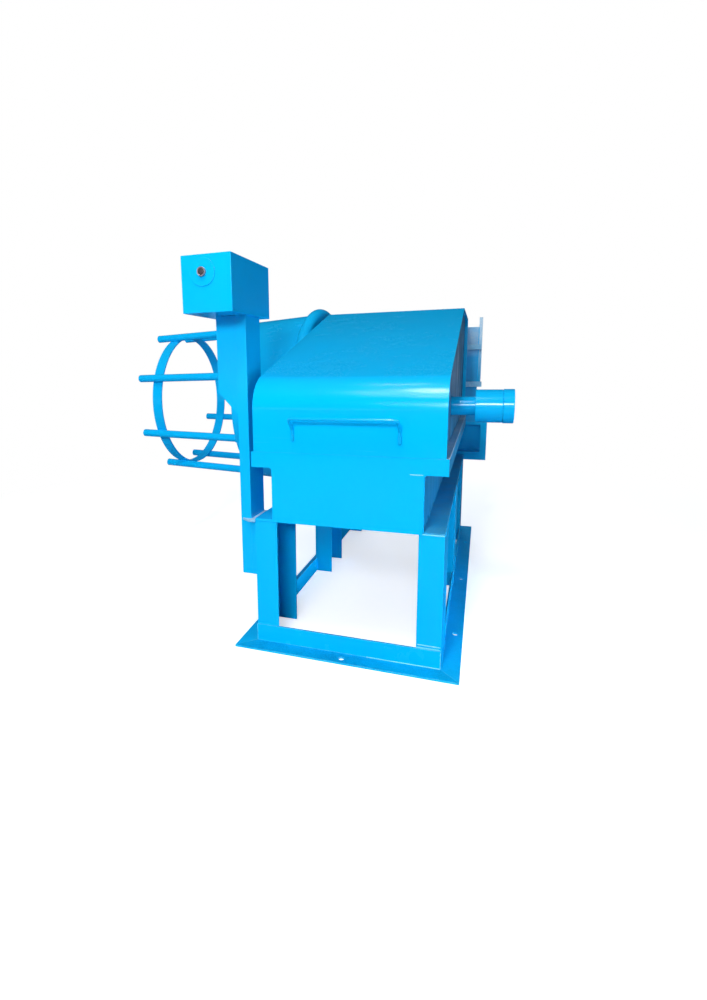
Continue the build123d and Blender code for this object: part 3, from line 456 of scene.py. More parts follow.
usualEnamel = {
    "colour": (0.0, 0.50, 0.93), "deep": (0.0, 0.43, 0.85), "tone": 0.3, "gloss": 0.2, "spread": 0.1,
    "dustAndPaintedLightAmount": 0.03, "dustAndPaintedLightColour": (0.36, 0.50, 0.60), "upright": 0.02, "low": -2.0, "high": -1.0,
    "stainAndPaintedShadeAmount": 0.02, "stainAndPaintedShadeColour": (0.085, 0.062, 0.05), "spacing": 1.0,
    "scratch": 0.1, "scratchColour": (0.22, 0.68, 0.95),
    # lighter blue on the edges: partly rubbed paint, partly a painted highlight
    "rubbed": 0.3, "rubbedAndHighlightColour": (0.04, 0.62, 0.96), "chips": 0.3,
    "peel": 0.015, "wave": 0.2, "specular": 0.3, "refraction": 1.45, "dulled": 0.5,
}
enamelLooks = {
    "blueEnamel": {
        "tone": 0.35, "gloss": 0.16, "dustAndPaintedLightAmount": 0.04, "rubbed": 0.22, "chips": 0.35, "peel": 0.012, "wave": 0.25,
    },
    # Dark blue dust on the up-facing slope: painted shade on the hood's top, in patches
    "hoodEnamel": {
        "gloss": 0.12, "spread": 0.06, "dustAndPaintedLightAmount": 0.42, "dustAndPaintedLightColour": (0.02, 0.35, 0.60), "upright": 0.0,
        "stainAndPaintedShadeAmount": 0.0, "scratch": 0.4, "chips": 0.1, "peel": 0.005, "wave": 0.5,
    },
    "apronEnamel": {
        "gloss": 0.15, "spread": 0.08, "upright": 0.0, "stainAndPaintedShadeAmount": 0.0, "scratch": 0.12, "rubbed": 0.04,
        "chips": 0.2, "peel": 0.006, "wave": 0.4,
    },
    "shaftEnamel": {
        "colour": (0.0, 0.49, 0.92), "deep": (0.0, 0.42, 0.84), "tone": 0.35, "gloss": 0.13, "spread": 0.05,
        "upright": 0.0, "peel": 0.004, "wave": 0.05, "specular": 0.55,
    },
    "drumEnamel": {
        "colour": (0.0, 0.53, 0.97), "deep": (0.0, 0.47, 0.91), "tone": 0.4, "scratch": 0.4, "chips": 0.4,
        "peel": 0.012, "wave": 0.15,
    },
    "handleEnamel": {
        "colour": (0.0, 0.47, 0.89), "deep": (0.0, 0.38, 0.77), "gloss": 0.14, "spread": 0.05, "upright": 0.0,
        "stainAndPaintedShadeAmount": 0.0, "rubbed": 0.1, "chips": 0.2, "peel": 0.004, "wave": 0.0, "specular": 0.7,
    },
    # Dark blue dust on the up-facing flange: painted shade on its top, darker than its upright face
    "flangeEnamelPaintedShade": {
        "colour": (0.0, 0.52, 0.95), "deep": (0.0, 0.45, 0.87), "tone": 0.4, "spread": 0.12, "dustAndPaintedLightAmount": 0.95,
        "dustAndPaintedLightColour": (0.0, 0.18, 0.42), "scratch": 0.2, "chips": 1.0, "rubbedAndHighlightColour": (0.20, 0.76, 0.95),
        "specular": 0.15,
    },
    # Dark blue dust on the up-facing flanges: painted shade on their tops
    "baseEnamel": {
        "colour": (0.0, 0.52, 0.95), "deep": (0.0, 0.45, 0.87), "tone": 0.4, "gloss": 0.18, "spread": 0.12,
        "dustAndPaintedLightAmount": 0.65, "dustAndPaintedLightColour": (0.0, 0.26, 0.50), "upright": 0.03, "scratch": 0.2, "chips": 1.0,
        "rubbedAndHighlightColour": (0.20, 0.76, 0.95),
    },
    # Pale blue with whitish edges: a painted highlight along some weld beads
    "weldHighlightEnamel": {
        "colour": (0.10, 0.68, 0.95), "deep": (0.0, 0.50, 0.90), "tone": 0.6, "dustAndPaintedLightAmount": 0.1, "upright": 0.1,
        "stainAndPaintedShadeAmount": 0.0, "scratch": 0.0, "rubbed": 0.6, "chips": 0.8, "rubbedAndHighlightColour": (0.62, 0.92, 0.94),
        "peel": 0.01, "wave": 0.0,
    },
    # Dark blue on the recessed right side plate: painted shade; the brown runs on it are stains
    "sidePlateEnamelPaintedShade": {
        "colour": (0.0, 0.28, 0.54), "deep": (0.0, 0.17, 0.34), "tone": 0.8, "gloss": 0.28, "spread": 0.2,
        "dustAndPaintedLightAmount": 0.04, "upright": 0.1, "stainAndPaintedShadeAmount": 1.0, "stainAndPaintedShadeColour": (0.13, 0.095, 0.075), "spacing": 0.3,
        "chips": 0.5, "wave": 0.3, "specular": 0.05,
    },
    # Darker paint: painted shade on the deck edge beside the hood; the pale dust on its top and the pale rubbed
    # edges: a painted highlight along it
    "skirtEnamelPaintedLight": {
        "colour": (0.0, 0.34, 0.64), "deep": (0.0, 0.22, 0.42), "tone": 0.7, "gloss": 0.26, "spread": 0.18,
        "dustAndPaintedLightAmount": 0.9, "dustAndPaintedLightColour": (0.72, 0.82, 0.88), "stainAndPaintedShadeAmount": 0.5, "stainAndPaintedShadeColour": (0.10, 0.09, 0.08),
        "spacing": 0.5, "scratch": 0.2, "rubbed": 0.9, "chips": 0.6, "rubbedAndHighlightColour": (0.66, 0.82, 0.90),
    },
    # Darker paint and dark runs: painted shade under the deck; the up-facing flange gets a paler blue through
    # the dust layer
    "ledgeEnamelPaintedShade": {
        "colour": (0.0, 0.30, 0.58), "deep": (0.0, 0.21, 0.44), "tone": 0.7, "gloss": 0.24, "spread": 0.16,
        "dustAndPaintedLightAmount": 0.9, "dustAndPaintedLightColour": (0.06, 0.50, 0.84), "stainAndPaintedShadeAmount": 0.45, "stainAndPaintedShadeColour": (0.13, 0.11, 0.13),
        "spacing": 0.5, "scratch": 0.4, "rubbed": 0.6, "chips": 0.8,
    },
    # Dark blue runs: painted shade under the shelves and beside the fin; the pale dust up high is dust
    "standEnamel": {
        "colour": (0.0, 0.46, 0.90), "deep": (0.0, 0.30, 0.62), "tone": 0.9, "gloss": 0.3, "spread": 0.2,
        "dustAndPaintedLightAmount": 1.0, "dustAndPaintedLightColour": (0.58, 0.70, 0.76), "upright": 1.15, "low": 0.90, "high": 0.97,
        "stainAndPaintedShadeAmount": 0.45, "stainAndPaintedShadeColour": (0.02, 0.10, 0.18), "spacing": 0.9, "scratch": 0.6,
        "rubbed": 0.6, "chips": 0.9, "peel": 0.03,
    },
    "shelfEnamel": {
        "colour": (0.0, 0.48, 0.86), "deep": (0.0, 0.36, 0.66), "tone": 0.8, "gloss": 0.3, "spread": 0.2,
        "dustAndPaintedLightAmount": 0.9, "dustAndPaintedLightColour": (0.55, 0.70, 0.78), "upright": 1.0, "stainAndPaintedShadeAmount": 0.15, "scratch": 0.3,
        "rubbed": 0.6, "chips": 0.9, "rubbedAndHighlightColour": (0.5, 0.74, 0.85), "peel": 0.03, "wave": 0.1,
    },
    "finEnamel": {
        "colour": (0.0, 0.48, 0.88), "deep": (0.0, 0.38, 0.70), "tone": 0.8, "gloss": 0.3, "spread": 0.2,
        "dustAndPaintedLightAmount": 1.0, "dustAndPaintedLightColour": (0.80, 0.88, 0.90), "upright": 1.3, "low": 0.80, "high": 1.00,
        "stainAndPaintedShadeAmount": 0.2, "scratch": 0.3, "rubbed": 0.8, "chips": 0.9, "rubbedAndHighlightColour": (0.7, 0.85, 0.9),
        "peel": 0.03, "wave": 0.1,
    },
    # Near-white: a painted highlight along the deck edge's top
    "paleHighlightEnamel": {
        "colour": (0.66, 0.78, 0.86), "deep": (0.40, 0.60, 0.76), "tone": 0.8, "gloss": 0.3, "spread": 0.2,
        "dustAndPaintedLightAmount": 0.2, "upright": 0.2, "stainAndPaintedShadeAmount": 0.2, "scratch": 0.3, "rubbed": 0.5, "chips": 0.8,
        "rubbedAndHighlightColour": (0.80, 0.88, 0.92), "peel": 0.02, "wave": 0.1,
    },
}


def addTone(tree, v):
    inputs = {"Colour": v["colour"], "Deep_Colour": v["deep"], "Amount": v["tone"]}
    return useGroup(tree, enamelTone, **inputs, Gloss=v["gloss"], Gloss_Spread=v["spread"])


def addWornAndHighlightedEdges(tree, v, colour):
    inputs = {"RubbedAndHighlight": v["rubbedAndHighlightColour"], "Amount": v["rubbed"], "Chips": v["chips"]}
    return useGroup(tree, wornAndHighlightedEdges, Colour=colour, **inputs)


def addDustAndPaintedLight(tree, v, colour):
    inputs = {"DustAndPaintedLight": v["dustAndPaintedLightColour"], "Amount": v["dustAndPaintedLightAmount"], "Upright": v["upright"]}
    return useGroup(tree, dustAndPaintedLight, Colour=colour, **inputs, Low=v["low"], High=v["high"])


def addRipple(tree, v):
    height = useGroup(tree, sheetRipple, Peel=v["peel"], Wave=v["wave"])["Height"]
    return addNode(tree, "Bump", Height=height, Distance=mm)["Normal"]


def makeEnamel(name, v):
    paint, tree = newMaterial(name)
    tone = addTone(tree, v)
    marks = {"Mark": v["scratchColour"], "Amount": v["scratch"]}
    scratched = useGroup(tree, hairScratches, Colour=tone["Colour"], **marks)
    runs = {"StainAndPaintedShade": v["stainAndPaintedShadeColour"], "Amount": v["stainAndPaintedShadeAmount"], "Spacing": v["spacing"]}
    stainedAndShaded = useGroup(tree, stainsAndPaintedShade, Colour=scratched["Colour"], **runs)
    # Dust, with the painted shade and painted highlight that some finishes lay in the same layer
    dustAndPaintedLightLayer = addDustAndPaintedLight(tree, v, addWornAndHighlightedEdges(tree, v, stainedAndShaded["Colour"])["Colour"])
    dulled = times(tree, addMath(tree, "MAXIMUM", dustAndPaintedLightLayer["Mask"], stainedAndShaded["Mask"]), v["dulled"])
    shader = addNode(
        tree, "BsdfPrincipled", Base_Color=dustAndPaintedLightLayer["Colour"], Roughness=plus(tree, tone["Roughness"], dulled),
        Normal=addRipple(tree, v), Specular_IOR_Level=v["specular"], IOR=v["refraction"],
    )
    endTree(tree, "Material", shader[0])
    return paint


# Greased steel of the gears, grey plastic of the button, pale metal of its bezel

plainLooks = {
    "greasedSteel": {
        "colour": (0.30, 0.285, 0.26), "deep": (0.10, 0.085, 0.065), "tone": 0.9, "gloss": 0.28, "spread": 0.25,
        "dustAndPaintedLightAmount": 0.25, "upright": 0.2, "metal": 0.9, "rubbedAndHighlightColour": (0.62, 0.60, 0.57), "peel": 0.05,
    },
    "greyPlastic": {
        "colour": (0.045, 0.028, 0.028), "deep": (0.02, 0.016, 0.016), "tone": 0.6, "gloss": 0.35,
        "dustAndPaintedLightAmount": 0.3, "upright": 0.4, "metal": 0.0, "rubbedAndHighlightColour": (0.10, 0.08, 0.08), "peel": 0.01,
    },
    "paleBezel": {
        "colour": (0.50, 0.40, 0.44), "deep": (0.34, 0.24, 0.26), "tone": 0.6, "gloss": 0.3, "spread": 0.15,
        "dustAndPaintedLightAmount": 0.3, "upright": 0.4, "metal": 0.6, "rubbedAndHighlightColour": (0.82, 0.78, 0.76), "peel": 0.005,
    },
}
plainWear = {"rubbed": 0.5, "chips": 0.5, "wave": 0.0}


def makePlain(name, v):
    stuff, tree = newMaterial(name)
    tone = addTone(tree, v)
    colour = addDustAndPaintedLight(tree, v, addWornAndHighlightedEdges(tree, v, tone["Colour"])["Colour"])["Colour"]
    shader = addNode(
        tree, "BsdfPrincipled", Base_Color=colour, Roughness=tone["Roughness"], Normal=addRipple(tree, v),
        Metallic=v["metal"],
    )
    endTree(tree, "Material", shader[0])
    return stuff


finishes = {name: makeEnamel(name, {**usualEnamel, **look}) for name, look in enamelLooks.items()}
for name, look in plainLooks.items():
    finishes[name] = makePlain(name, {**usualEnamel, **plainWear, **look})
print("finishes made:", ", ".join(finishes))


# Shared ways of making a piece


def finishPiece(name, bm, body, finish, *nodes, sharp=50, even=True):
    bmesh.ops.remove_doubles(bm, verts=bm.verts, dist=closeTo)
    bmesh.ops.recalc_face_normals(bm, faces=bm.faces)
    mesh = bpy.data.meshes.new(name)
    bm.to_mesh(mesh)
    bm.free()
    mesh.polygons.foreach_set("use_smooth", [True] * len(mesh.polygons))
    mesh.set_sharp_from_angle(angle=math.radians(sharp))
    mesh.materials.append(finishes[finish])
    piece = bpy.data.objects.new(name, mesh)
    scene.collection.objects.link(piece)
    if even:  # a broad face keeps its own normal, and the rounded edge turns between two of them
        shading = piece.modifiers.new("evenShading", "WEIGHTED_NORMAL")
        shading.mode = "FACE_AREA"
        shading.keep_sharp = True
    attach(piece, body)
    if nodes:
        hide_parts(*nodes)
    return piece


def bevelEdges(bm, edges, width, segments, clamp):
    bmesh.ops.bevel(
        bm, geom=edges, offset=width, offset_type="OFFSET", segments=segments, profile=0.5,
        affect="EDGES", clamp_overlap=clamp, material=-1,
    )


def softenEdges(bm, width, segments=2, angle=30, among=None):
    least = math.radians(angle)
    edges = [e for e in (among or bm.edges) if len(e.link_faces) == 2 and e.calc_face_angle(0) > least]
    bevelEdges(bm, edges, width, segments, True)


def spinRound(bm, centre, axis, steps):
    # Turns all that is in the mesh once round an axis
    bmesh.ops.spin(
        bm, geom=bm.verts[:] + bm.edges[:], cent=centre, axis=axis, dvec=still, angle=math.tau,
        steps=steps, use_merge=True,
    )


def turnedLine(bm, points, centre, axis, steps, closed):
    verts = [bm.verts.new(p) for p in points]
    for pair in zip(verts, verts[1:]):
        bm.edges.new(pair)
    if closed:
        bm.edges.new((verts[-1], verts[0]))
    spinRound(bm, centre, axis, steps)
    bmesh.ops.remove_doubles(bm, verts=bm.verts, dist=closeTo)


def turnedPiece(bm, line, centre, steps=96, closed=False):
    # A line of (x, radius) points turned round an axis along X
    y, z = centre
    turnedLine(bm, [(x, y, z + r) for x, r in line], (0, y, z), acrossX, steps, closed)


def newVertsOf(grown):
    return [g for g in grown if isinstance(g, bmesh.types.BMVert)]


def newEdgesOf(grown):
    return [g for g in grown if isinstance(g, bmesh.types.BMEdge)]


def standing(place, direction):
    return Matrix.Translation(place) @ direction.to_track_quat("Z", "Y").to_matrix().to_4x4()


def bentBar(bm, route, bend, radius, sides=20, steps=7, dome=0.6):
    # A round bar along a route of corner points, bent at each with one radius
    route = [Vector(p) for p in route]
    at = route[0]
    place = standing(at, (route[1] - at).normalized())
    made = bmesh.ops.create_circle(bm, cap_ends=True, segments=sides, radius=radius, matrix=place)
    ring = list({e for v in made["verts"] for e in v.link_edges})
    first = list(ring)
    for i in range(1, len(route)):
        run = (route[i] - route[i - 1]).normalized()
        last = i == len(route) - 1
        trim = 0.0
        if not last:
            following = (route[i + 1] - route[i]).normalized()
            angle = run.angle(following)
            trim = bend * math.tan(angle / 2)
        target = route[i] - run * trim
        grown = bmesh.ops.extrude_edge_only(bm, edges=ring)["geom"]
        verts = newVertsOf(grown)
        ring = [e for e in newEdgesOf(grown) if all(v in verts for v in e.verts)]
        bmesh.ops.translate(bm, verts=verts, vec=target - at)
        at = target
        if not last:
            axis = run.cross(following).normalized()
            middle = at + axis.cross(run) * bend
            spun = bmesh.ops.spin(
                bm, geom=ring + verts, cent=middle, axis=axis, dvec=still, angle=angle, steps=steps
            )
            ring = newEdgesOf(spun["geom_last"])
            at = route[i] + following * trim
    cap = bmesh.ops.contextual_create(bm, geom=ring)["faces"]
    if dome:
        ends = [e for e in set(first) | {e for f in cap for e in f.edges} if e.is_valid]
        softenEdges(bm, radius * dome, 3, 40, ends)


# Weld beads: a swell for each step of the torch, and ends that taper off

bead = {"step": 0.5, "narrow": 0.9, "wide": 1.08, "play": 0.08, "taper": 0.55, "end": 0.001}


def rippleRings(bm, count, seed, placeOf):
    # Swells the rings of a bead in turn; placeOf gives a vertex its ring's number and centre
    chance = random.Random(seed)
    widths = []
    for i in range(count + 1):
        usual = bead["narrow"] if i % 2 else bead["wide"]
        widths.append(usual + chance.uniform(-bead["play"], bead["play"]))
    for vert in bm.verts:
        ring, centre = placeOf(vert.co)
        vert.co = centre + (vert.co - centre) * widths[ring]


def weldBead(bm, start, end, size, seed=1, sides=8):
    # A rippled bead laid in one pass, straight along a seam, in a mesh of its own
    start, end = Vector(start), Vector(end)
    run = end - start
    count = max(6, int(run.length / (size * bead["step"])))
    bmesh.ops.create_cone(
        bm, cap_ends=True, segments=sides, radius1=size / 2, radius2=size / 2, depth=run.length,
        matrix=standing((start + end) / 2, run),
    )
    half = 0.5 * run.length_squared
    lengthways = [e for e in bm.edges if abs((e.verts[0].co - e.verts[1].co).dot(run)) > half]
    bmesh.ops.subdivide_edges(bm, edges=lengthways, cuts=count - 1)

    def placeOf(point):
        share = (point - start).dot(run) / run.length_squared
        return round(share * count), start + run * share

    rippleRings(bm, count, seed, placeOf)
    for vert in bm.verts:
        share = (vert.co - start).dot(run) / run.length_squared
        if min(share, 1 - share) < bead["end"]:
            centre = start + run * share
            vert.co = centre + (vert.co - centre) * bead["taper"]


def weldLoop(bm, centre, axis, radius, size, seed=1, sides=8):
    # The same bead laid round a bar or a disc, in a mesh of its own
    centre, axis = Vector(centre), Vector(axis).normalized()
    outward = axis.orthogonal().normalized()
    along = axis.cross(outward)
    count = max(12, int(math.tau * radius / (size * bead["step"])))
    place = standing(centre + outward * radius, along)
    bmesh.ops.create_circle(bm, segments=sides, radius=size / 2, matrix=place)
    spinRound(bm, centre, axis, count)

    def placeOf(point):
        flat = (point - centre) - axis * (point - centre).dot(axis)
        angle = math.atan2(flat.dot(along), flat.dot(outward)) % math.tau
        return round(angle / math.tau * count) % count, centre + flat.normalized() * radius

    rippleRings(bm, count, seed, placeOf)


def addPart(whole, makePart, *given, **named):
    # Makes one part in a mesh of its own and adds it, which is quicker than growing the whole
    part = bmesh.new()
    makePart(part, *given, **named)
    mesh = bpy.data.meshes.new("part")
    part.to_mesh(mesh)
    part.free()
    whole.from_mesh(mesh)
    bpy.data.meshes.remove(mesh)


def inMetres(point):
    return [n * mm for n in point]


# Plates, channels and angles: the CAD mesh merged, its flat faces joined and its edges broken

leftAndRight = ("left", "right")
plateEdges = {
    "flangeEnamelPaintedShade": {"base_front_angle": 1.2},
    "baseEnamel": {f"base_{place}_angle": 1.2 for place in ("rear", "left", "right")},
    "apronEnamel": {"front_apron": 0.5, "rear_apron": 1.2},
    "blueEnamel": {
        **{f"leg_{row}_{side}": 1.6 for row in ("front", "middle", "rear") for side in leftAndRight},
        "side_rail_left": 1.4, "deck_edge_left": 1.2, "column_lower_bracket": 1.0, "motor_tray": 1.4,
        "column_front_plate": 0.4, "column_gusset": 1.0, "control_column": 1.6, "control_box": 2.0,
        **{f"{shaft}_bearing_{side}": 2.5 for shaft in ("input", "main") for side in leftAndRight},
    },
    "ledgeEnamelPaintedShade": {"side_rail_right": 1.4},
    "skirtEnamelPaintedLight": {"deck_edge_right": 1.4},
    "standEnamel": {"stand_upright": 1.2},
    "finEnamel": {"stand_fin": 1.0},
    "shelfEnamel": {"stand_shelf_upper": 1.0, "stand_shelf_lower": 1.0, "column_upper_bracket": 1.0},
}
cadMesh = {"closeTo": 0.002 * mm, "flatWithin": math.radians(1)}


def brokenEdges(node, width, finish):
    bm = bmesh.new()
    bm.from_mesh(frame["nodes"][node].data)
    bmesh.ops.remove_doubles(bm, verts=bm.verts, dist=cadMesh["closeTo"])
    bmesh.ops.dissolve_limit(bm, angle_limit=cadMesh["flatWithin"], verts=bm.verts, edges=bm.edges)
    softenEdges(bm, width * mm, 2, 30)
    body = frame["nodes"][node]["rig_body"]
    return finishPiece(node.replace("_", " ").title().replace(" ", "") + "Soft", bm, body, finish, node)


for finish, widths in plateEdges.items():
    for node, width in widths.items():
        brokenEdges(node, width, finish)
print("plates and channels softened")


# Hood: one folded sheet over two recessed side plates

hood = {
    "halfWidth": 281 * mm, "front": -705 * mm, "rear": 681 * mm, "bottom": 615 * mm, "corner": 815 * mm,
    "top": 1088 * mm, "slopeEnd": 141.3 * mm, "frontBend": 100 * mm, "topBend": 40 * mm, "sheet": 3 * mm,
    "edge": 1.1 * mm,
}


def makeHood(v):
    bm = bmesh.new()
    line = [(v["front"], v["bottom"]), (v["front"], v["corner"]), (v["slopeEnd"], v["top"])]
    line += [(v["rear"], v["top"]), (v["rear"], v["bottom"])]
    verts = [bm.verts.new((-v["halfWidth"], y, z)) for y, z in line]
    edges = [bm.edges.new(pair) for pair in zip(verts, verts[1:])]
    grown = bmesh.ops.extrude_edge_only(bm, edges=edges)["geom"]
    bmesh.ops.translate(bm, verts=newVertsOf(grown), vec=(2 * v["halfWidth"], 0, 0))
    radii = (v["frontBend"], v["topBend"], v["topBend"])
    for corner, radius, segments in zip(line[1:4], radii, (22, 6, 12)):
        bend = [e for e in bm.edges if all(math.dist(p.co.yz, corner) < 10 * closeTo for p in e.verts)]
        half = bend[0].calc_face_angle() / 2
        bevelEdges(bm, bend, radius * math.tan(half), segments, False)
    bmesh.ops.recalc_face_normals(bm, faces=bm.faces)
    frontFace = next(f for f in bm.faces if abs(f.calc_center_median().y - v["front"]) < 100 * closeTo)
    if frontFace.normal.y > 0:
        bmesh.ops.reverse_faces(bm, faces=bm.faces)
    bmesh.ops.solidify(bm, geom=bm.faces, thickness=v["sheet"])
    softenEdges(bm, v["edge"], 2, 50)
    return finishPiece("HoodSheet", bm, "frame", "hoodEnamel", "hood_shell")


makeHood(hood)


# Handle: a bent round bar with its two ends flat on the hood

handle = {
    "left": -154 * mm, "right": 156 * mm, "barY": -745 * mm, "footY": -709.5 * mm, "height": 720 * mm,
    "armEnd": 686 * mm, "footEnd": 651 * mm, "radius": 4.5 * mm, "bend": 11 * mm,
    "bead": 3.2 * mm, "beadLow": 3 * mm, "beadHigh": 6 * mm, "beadOut": 0.8,
}


def makeHandle(v):
    bm = bmesh.new()
    half = [(v["footY"], v["footEnd"]), (v["footY"], v["armEnd"]), (v["barY"], v["height"])]
    route = [(v["left"], *p) for p in half] + [(v["right"], *p) for p in reversed(half)]
    bentBar(bm, route, v["bend"], v["radius"], 20, 7)
    for x in (v["left"], v["right"]):
        for side in (-1, 1):
            seam = x + side * v["radius"] * v["beadOut"]
            low = (seam, hood["front"], v["footEnd"] + v["beadLow"])
            high = (seam, hood["front"], v["armEnd"] - v["beadHigh"])
            addPart(bm, weldBead, low, high, v["bead"], seed=int(x * 1000) + side)
    return finishPiece("HoodHandle", bm, "frame", "handleEnamel", "hood_handle", even=False)


makeHandle(handle)
print("hood and handle made")


# Drum: tapered shell with a round rim, closed by two discs

drum = {
    "axis": (170 * mm, 715 * mm), "left": -607 * mm, "right": -294 * mm, "endRadius": 355 * mm,
    "rimRadius": 374 * mm, "bore": 345 * mm, "rim": 25 * mm, "rimCentre": -320 * mm, "shaft": 45 * mm,
    "play": 0.1 * mm, "shellEdge": 1.5 * mm, "discEdge": 0.8 * mm,
}
drumDiscs = {
    "DrumFace": {"node": "drum_face", "from": -607 * mm, "to": -595 * mm},
    "DrumBack": {"node": "drum_back", "from": -314 * mm, "to": -302 * mm},
}


def makeDrum(v, discs):
    y, z = v["axis"]
    bm = bmesh.new()
    start = bm.verts.new((v["rimCentre"] - v["rim"], y, z + v["rimRadius"]))
    middle = (v["rimCentre"], y, z + v["rimRadius"])
    bmesh.ops.spin(bm, geom=[start], cent=middle, axis=acrossY, dvec=still, angle=math.pi, steps=18)
    before = max(bm.verts, key=lambda p: p.co.x)
    for x, r in ((v["right"], v["bore"]), (v["left"], v["bore"]), (v["left"], v["endRadius"])):
        corner = bm.verts.new((x, y, z + r))
        bm.edges.new((before, corner))
        before = corner
    bm.edges.new((before, start))
    spinRound(bm, (0, y, z), acrossX, 160)
    bmesh.ops.remove_doubles(bm, verts=bm.verts, dist=closeTo)
    softenEdges(bm, v["shellEdge"], 2, 50)
    finishPiece("DrumShell", bm, "drum", "drumEnamel", "drum_shell")
    outer, inner = v["bore"] - v["play"], v["shaft"]
    for name, disc in discs.items():
        bm = bmesh.new()
        left, right = disc["from"], disc["to"]
        turnedPiece(bm, [(left, inner), (left, outer), (right, outer), (right, inner)], v["axis"], 128, True)
        softenEdges(bm, v["discEdge"], 2, 50)
        finishPiece(name, bm, "drum", "drumEnamel", disc["node"])


makeDrum(drum, drumDiscs)


# Cage: round bars with eased ends, drawn together towards the ring that holds them

cage = {
    "bars": 8, "shortBar": 6, "radius": 16 * mm, "firstAngle": 114.7, "sunk": 4 * mm, "endEase": 4 * mm,
    "root": -607 * mm, "rootPitch": 339 * mm, "end": -1078 * mm, "endPitch": 317 * mm,
    "ringX": (-1014.5 * mm, -969.5 * mm), "ringRadius": 306.5 * mm, "ringThick": 8 * mm, "ringEdge": 1.2 * mm,
    "bead": 5.5 * mm, "beadOut": 0.8 * mm, "faceBead": 4 * mm,
}
# Both ends of a bead between a bar and the ring: how far in from the ring's edge, across and out
ringBead = {"near": (4 * mm, 9.5 * mm, 1.2 * mm), "far": (3 * mm, 10.5 * mm, 1.0 * mm)}


def cagePoint(v, angle, x, across=0.0, radius=None):
    # A point on a bar's axis at x, or on a radius there, moved across the bar
    y, z = drum["axis"]
    share = (x - v["root"]) / (v["end"] - v["root"])
    pitch = radius or v["rootPitch"] + (v["endPitch"] - v["rootPitch"]) * share
    sine, cosine = math.sin(angle), math.cos(angle)
    return Vector((x, y + pitch * cosine - across * sine, z + pitch * sine + across * cosine))


def makeCage(v):
    bars, welds = bmesh.new(), bmesh.new()
    left, right = v["ringX"]
    outer = v["ringRadius"]
    inner = outer - v["ringThick"]
    for bar in range(v["bars"]):
        angle = math.radians(v["firstAngle"]) + math.tau * bar / v["bars"]
        start = cagePoint(v, angle, v["root"] + v["sunk"])
        end = cagePoint(v, angle, left if bar == v["shortBar"] else v["end"])
        known = set(bars.edges)
        bentBar(bars, [start, end], 0.1, v["radius"], 28, 1, 0.0)
        added = [e for e in bars.edges if e not in known and len(e.link_faces) == 2]
        rim = [e for e in added if all((p.co - end).length < v["radius"] * 1.01 for p in e.verts)]
        softenEdges(bars, v["endEase"], 4, 60, rim)
        root = cagePoint(v, angle, v["root"] - v["beadOut"])
        addPart(welds, weldLoop, root, end - start, v["radius"] + v["beadOut"], v["bead"], seed=bar)
        for side in (-1, 1):
            inwards, across, out = ringBead["near"]
            near = cagePoint(v, angle, right - inwards, side * across, outer + out)
            inwards, across, out = ringBead["far"]
            far = cagePoint(v, angle, left + inwards, side * across, outer + out)
            addPart(welds, weldBead, near, far, v["bead"], seed=20 + bar * 2 + side)
    finishPiece("CageBars", bars, "drum", "blueEnamel", "cage_bars")
    finishPiece("CageWelds", welds, "drum", "blueEnamel", sharp=60, even=False)
    bm = bmesh.new()
    turnedPiece(bm, [(left, inner), (left, outer), (right, outer), (right, inner)], drum["axis"], 144, True)
    softenEdges(bm, v["ringEdge"], 2, 50)
    finishPiece("CageRing", bm, "drum", "blueEnamel", "cage_ring")
    seam = bmesh.new()
    weldLoop(seam, (drum["left"], *drum["axis"]), acrossX, drum["bore"], v["faceBead"], seed=90, sides=6)
    finishPiece("DrumFaceWeld", seam, "drum", "drumEnamel", sharp=60, even=False)


makeCage(cage)
print("drum and cage made")


# Shafts, the sleeve on the input shaft and its collar: lines of x and radius in millimetres

inputAxis = (-279.812 * mm, 728 * mm)
shafts = {
    "MainShaft": {
        "line": [(-607, 0), (-607, 45), (261, 45), (261, 0)], "axis": drum["axis"], "body": "drum",
        "node": "main_shaft", "finish": "blueEnamel", "edge": 2.0,
    },
    "InputShaft": {"line": [(-261, 0), (-261, 31), (428, 31), (428, 0)], "node": "input_shaft", "edge": 1.0},
    "ShaftSleeve": {
        "line": [(342, 31), (342, 54.5), (428, 54.5), (428, 31)], "node": "shaft_sleeve", "edge": 2.2,
        "closed": True,
    },
    "SleeveCollar": {"line": [(428, 0), (428, 56), (462, 56), (462, 0)], "node": "sleeve_collar", "edge": 1.8},
}


def makeShafts(values):
    for name, v in values.items():
        bm = bmesh.new()
        line = [(x * mm, r * mm) for x, r in v["line"]]
        turnedPiece(bm, line, v.get("axis", inputAxis), 96, v.get("closed", False))
        softenEdges(bm, v["edge"] * mm, 3, 50)
        finishPiece(name, bm, v.get("body", "drive_shaft"), v.get("finish", "shaftEnamel"), v["node"])


makeShafts(shafts)


# Push button: plate, bezel with a rounded rim, and a domed cap, as lines of radius and y in millimetres

buttonPlace = (-384 * mm, 1128 * mm)
buttonPieces = {
    "ButtonPlate": {
        "line": [(0, -784), (39, -784), (39, -787), (0, -787)], "steps": 72, "edge": 1.1, "segments": 3,
        "body": "frame", "finish": "blueEnamel", "node": "button_plate",
    },
    "ButtonBezel": {
        "line": [(9.3, -787), (13, -787), (13, -795), (9.3, -795)], "steps": 56, "edge": 1.3, "segments": 3,
        "body": "frame", "finish": "paleBezel", "node": "button_bezel", "closed": True,
    },
    "PushButton": {
        "line": [(0, -790.3), (9, -790.3), (9, -795.4), (6.48, -796.5), (0, -796.8)], "steps": 48,
        "edge": 0.7, "segments": 2, "body": "button", "finish": "greyPlastic", "node": "push_button",
    },
}


